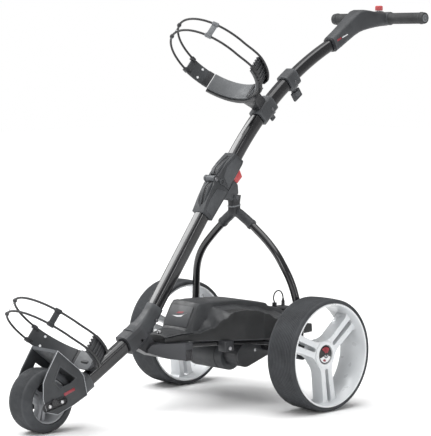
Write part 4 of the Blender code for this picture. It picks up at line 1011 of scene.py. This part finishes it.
def strap(label, centre, slope, across, rise, clip_at, clip_material, body):
    """Two cords with a bead each, the beads' link and the clip that bridges the cords, as one piece."""
    plane = cross_plane(centre, slope)
    made = []
    for sign, part in ((1, "a"), (-1, "b")):
        line = [plane @ p for p in hoop(across, rise, sign * CORD_SPREAD)]
        made.append(painted(tube(f"{label}_cord_{part}", line, CORD_R, 4), CORD))
        bead_at = plane @ Vector((across * math.cos(BEAD), rise * math.sin(BEAD), sign * CORD_SPREAD))
        tangent = (plane.to_3x3() @ Vector((-across * math.sin(BEAD), rise * math.cos(BEAD),
                                            0.0))).normalized()
        bead = [(0.0, -0.007), (0.003, -0.0066), (0.0048, -0.004), (0.0053, 0.0), (0.0048, 0.004),
                (0.003, 0.0066), (0.0, 0.007)]
        made.append(painted(turned_on(f"{label}_bead_{part}", bead, bead_at, tangent, 24), DARK))
    ends = [plane @ Vector((across * math.cos(BEAD), rise * math.sin(BEAD),
                            s * CORD_SPREAD)) for s in (1, -1)]
    made.append(painted(tube(f"{label}_bead_link", [ends[0], ends[1]], 0.0006, 3), DARK))
    spot = Vector((across * math.cos(clip_at), rise * math.sin(clip_at), 0.0))
    tangent = Vector((-across * math.sin(clip_at), rise * math.cos(clip_at), 0.0))
    turn = Matrix.Rotation(math.atan2(tangent.y, tangent.x) - math.pi / 2, 4, "Z")
    place = plane @ Matrix.Translation(spot) @ turn
    made.append(painted(box_piece(f"{label}_clip_plate", (0.0034, 0.014, 2 * CORD_SPREAD - 0.004), place,
                                  0.0008, 2), clip_material))
    for sign, part in ((1, "a"), (-1, "b")):
        grip = place @ Matrix.Translation((0.0, 0.0, sign * CORD_SPREAD))
        made.append(painted(box_piece(f"{label}_clip_jaw_{part}", (0.0085, 0.0175, 0.009), grip, 0.002,
                                      3), clip_material))
    whole = joined(*made)
    whole.name = f"{label}_strap_cords"
    dressed(whole, body, CORD, (f"{label}_bag_strap",), 55)
    return whole


def arm_plate(name, radius, wall, start, end, width, plane):
    return slab(name, [band(radius, wall, start, end, 12)], width, plane, 0.0012, 3)


def lattice_arm(label, radius, plane, width, start, body, node):
    """Near arm: a thin curved plate with edge flanges, cross ribs, a diagonal lattice and a toothed tip."""
    plate = arm_plate(f"{label}_near_plate", radius + 0.0004, 0.0026, start, 354.5, width, plane)
    pieces = [painted(plate, DARK)]
    for sign in (1, -1):
        flange = slab(f"{label}_flange", [band(radius - 0.0012, 0.0095, start + 0.5, 354, 18)], 0.0026,
                      plane @ Matrix.Translation((0.0, 0.0, sign * (width / 2 - 0.0013))), 0.0007, 2)
        pieces.append(painted(flange, DARK))
    half = width / 2 - 0.003
    step = (352.0 - start - 2) / 9

    def spot(r, k, z):
        a = math.radians(start + 2 + step * k)
        return plane @ Vector((r * math.cos(a), r * math.sin(a), z))

    for k in range(10):
        for r in (radius + 0.0035, radius - 0.0004):
            pieces.append(painted(tube(f"{label}_rib_{k}", [spot(r, k, -half), spot(r, k, half)], 0.0014,
                                       2), DARK))
    for k in range(0, 9, 3):
        for sign in (1, -1):
            ends = [spot(radius - 0.0008, k, -half * sign), spot(radius - 0.0008, k + 3, half * sign)]
            pieces.append(painted(tube(f"{label}_lattice_{k}", ends, 0.0009, 2), MID))
    for k in range(5):
        z = -half + (k + 0.5) * 2 * half / 5
        a = math.radians(354.4)
        tooth = box_piece(f"{label}_tooth_{k}", (0.006, 0.007, 0.0052),
                          plane @ Matrix.Translation(((radius + 0.0015) * math.cos(a),
                                                      (radius + 0.0015) * math.sin(a), z))
                          @ Matrix.Rotation(a, 4, "Z"), 0.001, 2)
        pieces.append(painted(tooth, DARK))
    whole = joined(*pieces)
    whole.name = f"{label}_near_arm"
    dressed(whole, body, DARK, (node,))


def far_arm(label, radius, plane, width, end, body, node):
    """Far arm: a plain curved plate with four screws and the two hooks of the cords."""
    plate = arm_plate(f"{label}_far_plate", radius + 0.0004, 0.0048, 187.8, end, width, plane)
    pieces = [painted(plate, GREY)]
    for sign in (1, -1):
        hook = box_piece(f"{label}_cord_hook", (0.011, 0.013, 0.0095),
                         plane @ Matrix.Rotation(math.radians(188.6), 4, "Z")
                         @ Matrix.Translation((radius + 0.0018, 0.0, sign * 0.0175)), 0.0018, 3)
        pieces.append(painted(hook, DARK))
    screws = ((206, width * 0.3), (206, -width * 0.3), (194, width * 0.34), (194, -width * 0.34))
    inner = radius - 0.0004
    for k, (deg, z) in enumerate(screws):
        a = math.radians(deg)
        spot = plane @ Vector((inner * math.cos(a), inner * math.sin(a), z))
        inward = (plane.to_3x3() @ Vector((-math.cos(a), -math.sin(a), 0.0))).normalized()
        ring = [(0.0, -0.003), (0.003, -0.003), (0.003, 0.0004), (0.0022, 0.0008), (0.0, 0.0006)]
        pieces.append(painted(turned_on(f"{label}_arm_screw_{k}", ring, spot, inward, 24),
                              WHITE_MARK if k < 2 else CAP))
    whole = joined(*pieces)
    whole.name = f"{label}_far_arm"
    dressed(whole, body, GREY, (node,))


UPPER_BAG = ((-0.0955, 0.839), math.radians(48.5), 0.117, 0.129, math.radians(57))
LOWER_BAG = ((-0.604, 0.2175), math.radians(51.4), 0.11, 0.126, math.radians(44))


def strut_piece(name, foot, seat, along, across, body, material):
    reach = seat - foot
    turn = math.atan2(reach.z, reach.y)
    plane = side_plane((foot + seat) / 2, turn)
    return dressed(box_piece(name, (reach.length, along, across), plane, 0.0035, 3), body, material)


def upper_cradle():
    centre, slope, across, rise, clip_at = UPPER_BAG
    centre = at(*centre)
    plane = cross_plane(centre, slope)
    base = slab("upper_cradle_seat", [band(across + 0.0003, 0.0045, 222.4, SEAT_END, 26)], SEAT_WIDTH,
                plane, 0.0012, 3)
    dressed(base, "upper_frame", MID, ("upper_cradle_base",))
    keel = slab("upper_cradle_keel", [band(across + 0.0052, 0.0085, 222.5, 300.0, 26)], 0.036,
                plane @ Matrix.Translation((0.0, 0.0, 0.009)), 0.0016, 3)
    dressed(keel, "upper_frame", DARK)
    for k, (start, end) in enumerate(((214.5, 221.5), (281.6, 287.5))):
        clasp = slab(f"upper_cradle_clasp_{k}", [band(across - 0.002, 0.0088, start, end, 4)], 0.041,
                     plane, 0.0014, 3)
        dressed(clasp, "upper_frame", DARK)
    # gusset that fans from the clamp out under the seat
    rings = []
    foot = upper_point(43.3, 0.02)
    for share in (0.0, 0.25, 0.5, 0.75, 1.0):
        off = -across - 0.0045
        seat = centre + heading(slope + math.pi / 2) * off
        place = foot.lerp(seat, share)
        width = 0.026 + 0.062 * share ** 1.7
        rings.append((place, width, 0.034 - 0.006 * share, 0.004))
    dressed(swept("upper_cradle_gusset", rings), "upper_frame", DARK)
    far_arm("upper", across, plane, FAR_ARM_WIDTH, 221.4, "upper_frame", "upper_cradle_arm_right")
    lattice_arm("upper", across, plane, SEAT_WIDTH, NEAR_ARM_START, "upper_frame", "upper_cradle_arm_left")
    whole = strap("upper", centre, slope, across, rise, clip_at, MID, "upper_frame")
    off = heading(slope + math.pi / 2)
    seat = centre - off * (across + 0.004)
    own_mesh(whole)
    clamp = bar_of("cradle_clamp_body", upper_line(45.1, 41.4, 6), 0.0405, 0.0445, 0.0115)
    dressed(clamp, "upper_frame", GREY, ("upper_cradle_clamp",))


def lower_cradle():
    centre, slope, across, rise, clip_at = LOWER_BAG
    centre = at(*centre)
    plane = cross_plane(centre, slope)
    plate = slab("lower_cradle_seat", [band(across + 0.0002, 0.0046, 255.0, SEAT_END, 8)], SEAT_WIDTH,
                 plane, 0.0012, 3)
    dressed(plate, "frame", MID, ("lower_cradle_base",))
    keel = slab("lower_cradle_backbone", [band(across + 0.0054, 0.006, 236.0, 300.0, 16)], 0.034, plane,
                0.0014, 3)
    dressed(keel, "frame", DARK)
    ridge = slab("lower_cradle_slit", [band(across + 0.0016, 0.005, 250.9, 254.7, 3)], 0.043, plane,
                 0.001, 2)
    dressed(ridge, "frame", DARK)
    far_arm("lower", across, plane, FAR_ARM_WIDTH, 250.6, "frame", "lower_cradle_arm_right")
    lattice_arm("lower", across, plane, SEAT_WIDTH, NEAR_ARM_START, "frame", "lower_cradle_arm_left")
    strap("lower", centre, slope, across, rise, clip_at, DARK, "frame")
    foot = at(*BEND) - heading(FRONT_SLOPE) * 0.184 + heading(FRONT_SLOPE + math.pi / 2) * (TUBE_D / 2)
    seat = centre + heading(slope) * 0.006 - heading(slope + math.pi / 2) * (across + 0.005)
    strut_piece("lower_cradle_stem", foot, seat, 0.029, 0.027, "frame", DARK)


# ---------------------------------------------------------------- knobs, handle and dial
def knobs():
    for name, degrees, node, body, wide, tall in (("height", 35.75, "height_knob", "height_clamp_knob",
                                                   0.016, 0.024),
                                                  ("cradle", 42.6, "cradle_knob", "cradle_clamp_knob",
                                                   0.0075, 0.0095)):
        pivot = upper_point(degrees, -0.0268)
        away = -heading(math.radians(degrees + 90))
        stem = 0.0075 if name == "height" else 0.0055
        profile = [(0.0, 0.0), (0.0066, 0.0), (0.006, stem), (wide * 0.62, stem + 0.001),
                   (wide * 0.62, stem + tall * 0.5),
                   (wide * 0.5, stem + tall * 0.62), (0.0, stem + tall * 0.66)]
        hub = painted(turned_on(f"{name}_knob_hub", profile, pivot, away, 36), GREY)
        plane = side_plane(pivot + away * (stem + tall / 2), math.radians(degrees))
        wing = box_piece(f"{name}_knob_wing", (wide * 2, tall, 0.007), plane, 0.0024, 4)
        whole = joined(hub, painted(wing, GREY))
        whole.name = f"{name}_wing_knob"
        dressed(whole, body, GREY, (node,))
    collar = bar_of("height_collar_body", upper_line(36.95, 34.6, 6), 0.0405, 0.0445, 0.0115)
    dressed(collar, "upper_frame", GREY, ("height_collar",))
    for name, degrees in (("height", 35.75), ("cradle", 42.6)):
        plane = side_plane(upper_point(degrees, -0.0225), math.radians(degrees))
        pad = box_piece(f"{name}_clamp_pad", (0.022, 0.0075, 0.022), plane, 0.0018, 3)
        dressed(pad, "upper_frame", GREY)
        for side, label in SIDES:
            place = upper_point(degrees, -0.006) + Vector((side * 0.0202, 0.0, 0.0))
            screw = [(0.0, 0.0018), (0.003, 0.0018), (0.0038, 0.0008), (0.0038, -0.001), (0.0, -0.001)]
            dressed(turned(f"{name}_clamp_screw_{label}", mirrored(screw, side), place, 24), "upper_frame",
                    DARK_STEEL)


def console():
    bar = middle("t_bar")
    start = upper_point(24.5)
    off = heading(math.radians(24.5 + 90))
    shaped = [(start - off * 0.0188, start + off * 0.0188, 0.0365, 0.012),
              (start - off * 0.0202 + heading(math.radians(24.5)) * 0.001,
               start + off * 0.0202 + heading(math.radians(24.5)) * 0.001, 0.0385, 0.013)]
    for bottom, top, width, corner in (((0.333, 0.8695), (0.3165, 0.9085), 0.0385, 0.013),
                                       ((0.355, 0.883), (0.344, 0.928), 0.04, 0.013),
                                       ((0.378, 0.898), (0.373, 0.949), 0.043, 0.012),
                                       ((0.396, 0.908), (0.397, 0.964), 0.046, 0.01),
                                       ((0.411, 0.9135), (0.411, 0.9672), 0.051, 0.0095),
                                       ((0.429, 0.918), (0.43, 0.9655), 0.059, 0.01),
                                       ((0.446, 0.9215), (0.447, 0.9625), 0.069, 0.011),
                                       ((0.466, 0.9245), (0.466, 0.9612), 0.078, 0.013),
                                       ((0.49, 0.9262), (0.49, 0.9606), 0.08, 0.014),
                                       ((0.503, 0.929), (0.503, 0.959), 0.078, 0.012),
                                       ((0.508, 0.935), (0.508, 0.953), 0.073, 0.008)):
        shaped.append((at(*bottom), at(*top), width, corner))
    rings = []
    for bottom, top, width, corner in shaped:
        rise = (top - bottom).normalized()
        rings.append([(top + bottom) / 2 + rise * a + Vector((b, 0.0, 0.0))
                      for a, b in rounded(width, (top - bottom).length, corner, 8)])
    body = loft("console_body", rings)
    dressed(body, "handle", GREY, ("handle_console",), 40)
    sleeve = [(0.0174, -0.0405), (0.0174, 0.0405), (0.0168, 0.042), (0.0148, 0.042), (0.0148, -0.042),
              (0.0168, -0.042)]
    dressed(turned("console_cross_sleeve", sleeve, bar, 64), "handle", GREY, (), 50)
    lip = bar_of("console_lip", upper_line(24.75, 24.4, 3), 0.0345, 0.037, 0.0115)
    dressed(lip, "handle", DARK)
    strips = ((0.317, 0.8905, 0.016, RED_MARK), (0.3385, 0.899, 0.022, WHITE_MARK))
    for side, label in SIDES:
        for k, (y, z, length, material) in enumerate(strips):
            strip = box_piece(f"console_strip_{label}_{k}", (length, 0.005 - 0.0022 * k, 0.0012),
                              side_plane(at(y, z), math.radians(24 if k == 0 else 22),
                                         side * (0.019 + 0.0004 * k)), 0.0002, 1)
            dressed(strip, "handle", material)
    collar = [(0.0, 0.9602), (0.0126, 0.9602), (0.0126, 0.9634), (0.0112, 0.9643), (0.0082, 0.9643),
              (0.008, 0.9612), (0.0, 0.9612)]
    floor = Vector((0.0, DIAL.y, 0.0))
    dressed(turned_on("dial_seat", collar, floor, Vector((0, 0, 1)), 48), "handle", DARK)
    stem = [(0.0, 0.972), (0.0035, 0.972), (0.0035, 0.9656), (0.007, 0.9654), (0.007, 0.9643),
            (0.0, 0.9643)]
    dressed(turned_on("dial_stem_body", stem, floor, Vector((0, 0, 1)), 32), "dial_stem", STEEL,
            ("dial_plunger",))
    rings = []
    for height, radius, knurl in ((0.9663, 0.0092, 0.0), (0.9668, 0.0097, 0.00035), (0.9765, 0.0097, 0.00035),
                                  (0.978, 0.009, 0.0001), (0.9789, 0.0076, 0.0), (0.9789, 0.004, 0.0),
                                  (0.9783, 0.003, 0.0)):
        ring = []
        for k in range(48):
            reach = radius + (knurl if k % 2 else -knurl)
            a = 2 * math.pi * k / 48
            ring.append(floor + Vector((reach * math.cos(a), reach * math.sin(a), height)))
        rings.append(ring)
    dressed(loft("dial_knob", rings), "dial", RED, ("speed_dial",), 30)


def grips():
    bar = middle("t_bar")
    for side, label in SIDES:
        low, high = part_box(f"grip_{label}")
        end = max(abs(low[0]), abs(high[0]))
        profile = [(0.0104, 0.0425), (0.0152, 0.0425), (0.0152, 0.0475), (0.0143, 0.049)]
        x = 0.05
        while x < end - 0.02:
            profile += [(0.0143, x), (0.0146, x + 0.0006), (0.0146, x + 0.0018), (0.0143, x + 0.0024)]
            x += 0.0034
        profile += [(0.0143, end - 0.0165), (0.0157, end - 0.015), (0.0158, end - 0.011),
                    (0.0148, end - 0.01),
                    (0.015, end - 0.0045), (0.014, end - 0.001), (0.0118, end - 0.0002),
                    (0.0108, end - 0.0002),
                    (0.01, end - 0.0016), (0.0, end - 0.0016), (0.0, end - 0.006), (0.0104, end - 0.006)]
        grip = turned(f"handle_grip_{label}", mirrored(profile, side), Vector((0.0, bar.y, bar.z)), 64)
        dressed(grip, "handle", GRIP, (f"grip_{label}",), 40)
        disc = [(0.0, end - 0.0018), (0.0098, end - 0.0018), (0.0096, end - 0.0006), (0.0072, end - 0.0002),
                (0.0066, end - 0.001), (0.0044, end - 0.001), (0.004, end - 0.0003), (0.0, end - 0.0003)]
        dressed(turned(f"grip_end_disc_{label}", mirrored(disc, side), Vector((0.0, bar.y, bar.z)), 48),
                "handle", MID)


# ---------------------------------------------------------------- kept nodes, floor, light and camera
def dress_nodes():
    """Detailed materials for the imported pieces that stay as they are."""
    looks = {
        "fork_bridge": GREY, "chassis_node": DARK, "chassis_rail_left": BLACK, "chassis_rail_right": BLACK,
        "axle_bearing_left": GREY, "axle_bearing_right": GREY,
        "axle_tube_left": BLACK, "axle_tube_right": BLACK,
        "gearbox_housing": DARK, "gearbox_cover": DARK,
        "battery_tray": DARK, "battery": BATTERY, "lead_socket": DARK,
        "drive_axle": STEEL, "output_gear": STEEL, "idler_gear": STEEL, "motor_shaft": STEEL, "t_bar": STEEL,
    }
    for name, material in looks.items():
        node = frame["nodes"][name]
        node.data.materials.clear()
        node.data.materials.append(material)


def area(name, place, target, size, power):
    light = bpy.data.lights.new(name, "AREA")
    light.shape = "RECTANGLE"
    light.size = size[0]
    light.size_y = size[1]
    light.energy = power
    made = bpy.data.objects.new(name, light)
    bpy.context.scene.collection.objects.link(made)
    made.location = place
    made.rotation_euler = (Vector(target) - Vector(place)).to_track_quat("-Z", "Y").to_euler()


def studio():
    floor = mesh_object("studio_floor", [(-12, -12, 0), (12, -12, 0), (12, 12, 0), (-12, 12, 0)],
                        [(0, 1, 2, 3)])
    pale = Surface("studio_floor_white", 0.9, specular=0.1)
    pale.colour(tinted(pale, (0.9, 0.9, 0.9), (0.93, 0.93, 0.93), 3.0))
    floor.data.materials.append(pale.material)
    floor.location.z = -0.0005
    world = bpy.data.worlds.new("studio_world")
    world.use_nodes = True
    nodes, links = world.node_tree.nodes, world.node_tree.links
    sky = nodes["Background"]
    sky.inputs["Color"].default_value = (1.0, 1.0, 1.0, 1.0)
    sky.inputs["Strength"].default_value = 0.42
    backdrop = nodes.new("ShaderNodeBackground")
    backdrop.inputs["Color"].default_value = (1.0, 1.0, 1.0, 1.0)
    seen = nodes.new("ShaderNodeMixShader")
    links.new(nodes.new("ShaderNodeLightPath").outputs["Is Camera Ray"], seen.inputs["Fac"])
    links.new(sky.outputs["Background"], seen.inputs[1])
    links.new(backdrop.outputs["Background"], seen.inputs[2])
    links.new(seen.outputs["Shader"], nodes["World Output"].inputs["Surface"])
    bpy.context.scene.world = world
    bpy.context.scene.view_settings.view_transform = "Standard"
    aim = (0.0, 0.0, 0.45)
    area("key_light", (-2.3, -0.95, 2.5), aim, (2.0, 1.4), 62)
    area("top_light", (0.7, 0.3, 3.3), aim, (2.6, 1.8), 16)
    sun = bpy.data.lights.new("overcast_light", "SUN")
    sun.energy = 2.4
    sun.angle = math.radians(70)
    high = bpy.data.objects.new("overcast_light", sun)
    high.rotation_euler = (math.radians(8), math.radians(-6), 0.0)
    bpy.context.scene.collection.objects.link(high)
    area("front_light", (1.0, -3.6, 1.5), aim, (1.4, 1.8), 34)
    area("side_light", (3.6, 0.6, 1.1), aim, (0.5, 2.2), 26)


def camera():
    """The viewing angle of a product shot: front left corner, slightly from above."""
    turn_left = math.radians(46.4945)
    look_down = math.radians(5.2238)
    lens = bpy.data.cameras.new("view_camera")
    lens.sensor_width = 36.0
    lens.lens = 155.13
    made = bpy.data.objects.new("view_camera", lens)
    bpy.context.scene.collection.objects.link(made)
    made.location = at(-3.2593, 0.8725, 3.3241)
    made.rotation_euler = (math.pi / 2 - look_down, 0.0, turn_left)
    bpy.context.scene.camera = made


camera()
battery_lead()
for wheel_side, wheel_label in SIDES:
    rear_wheel(wheel_side, wheel_label)
front_wheel()
fork()
tubes()
hinge()
wishbone()
battery_cover()
bend_collar()
motor_and_rails()
upper_cradle()
lower_cradle()
knobs()
console()
grips()
dress_nodes()
studio()
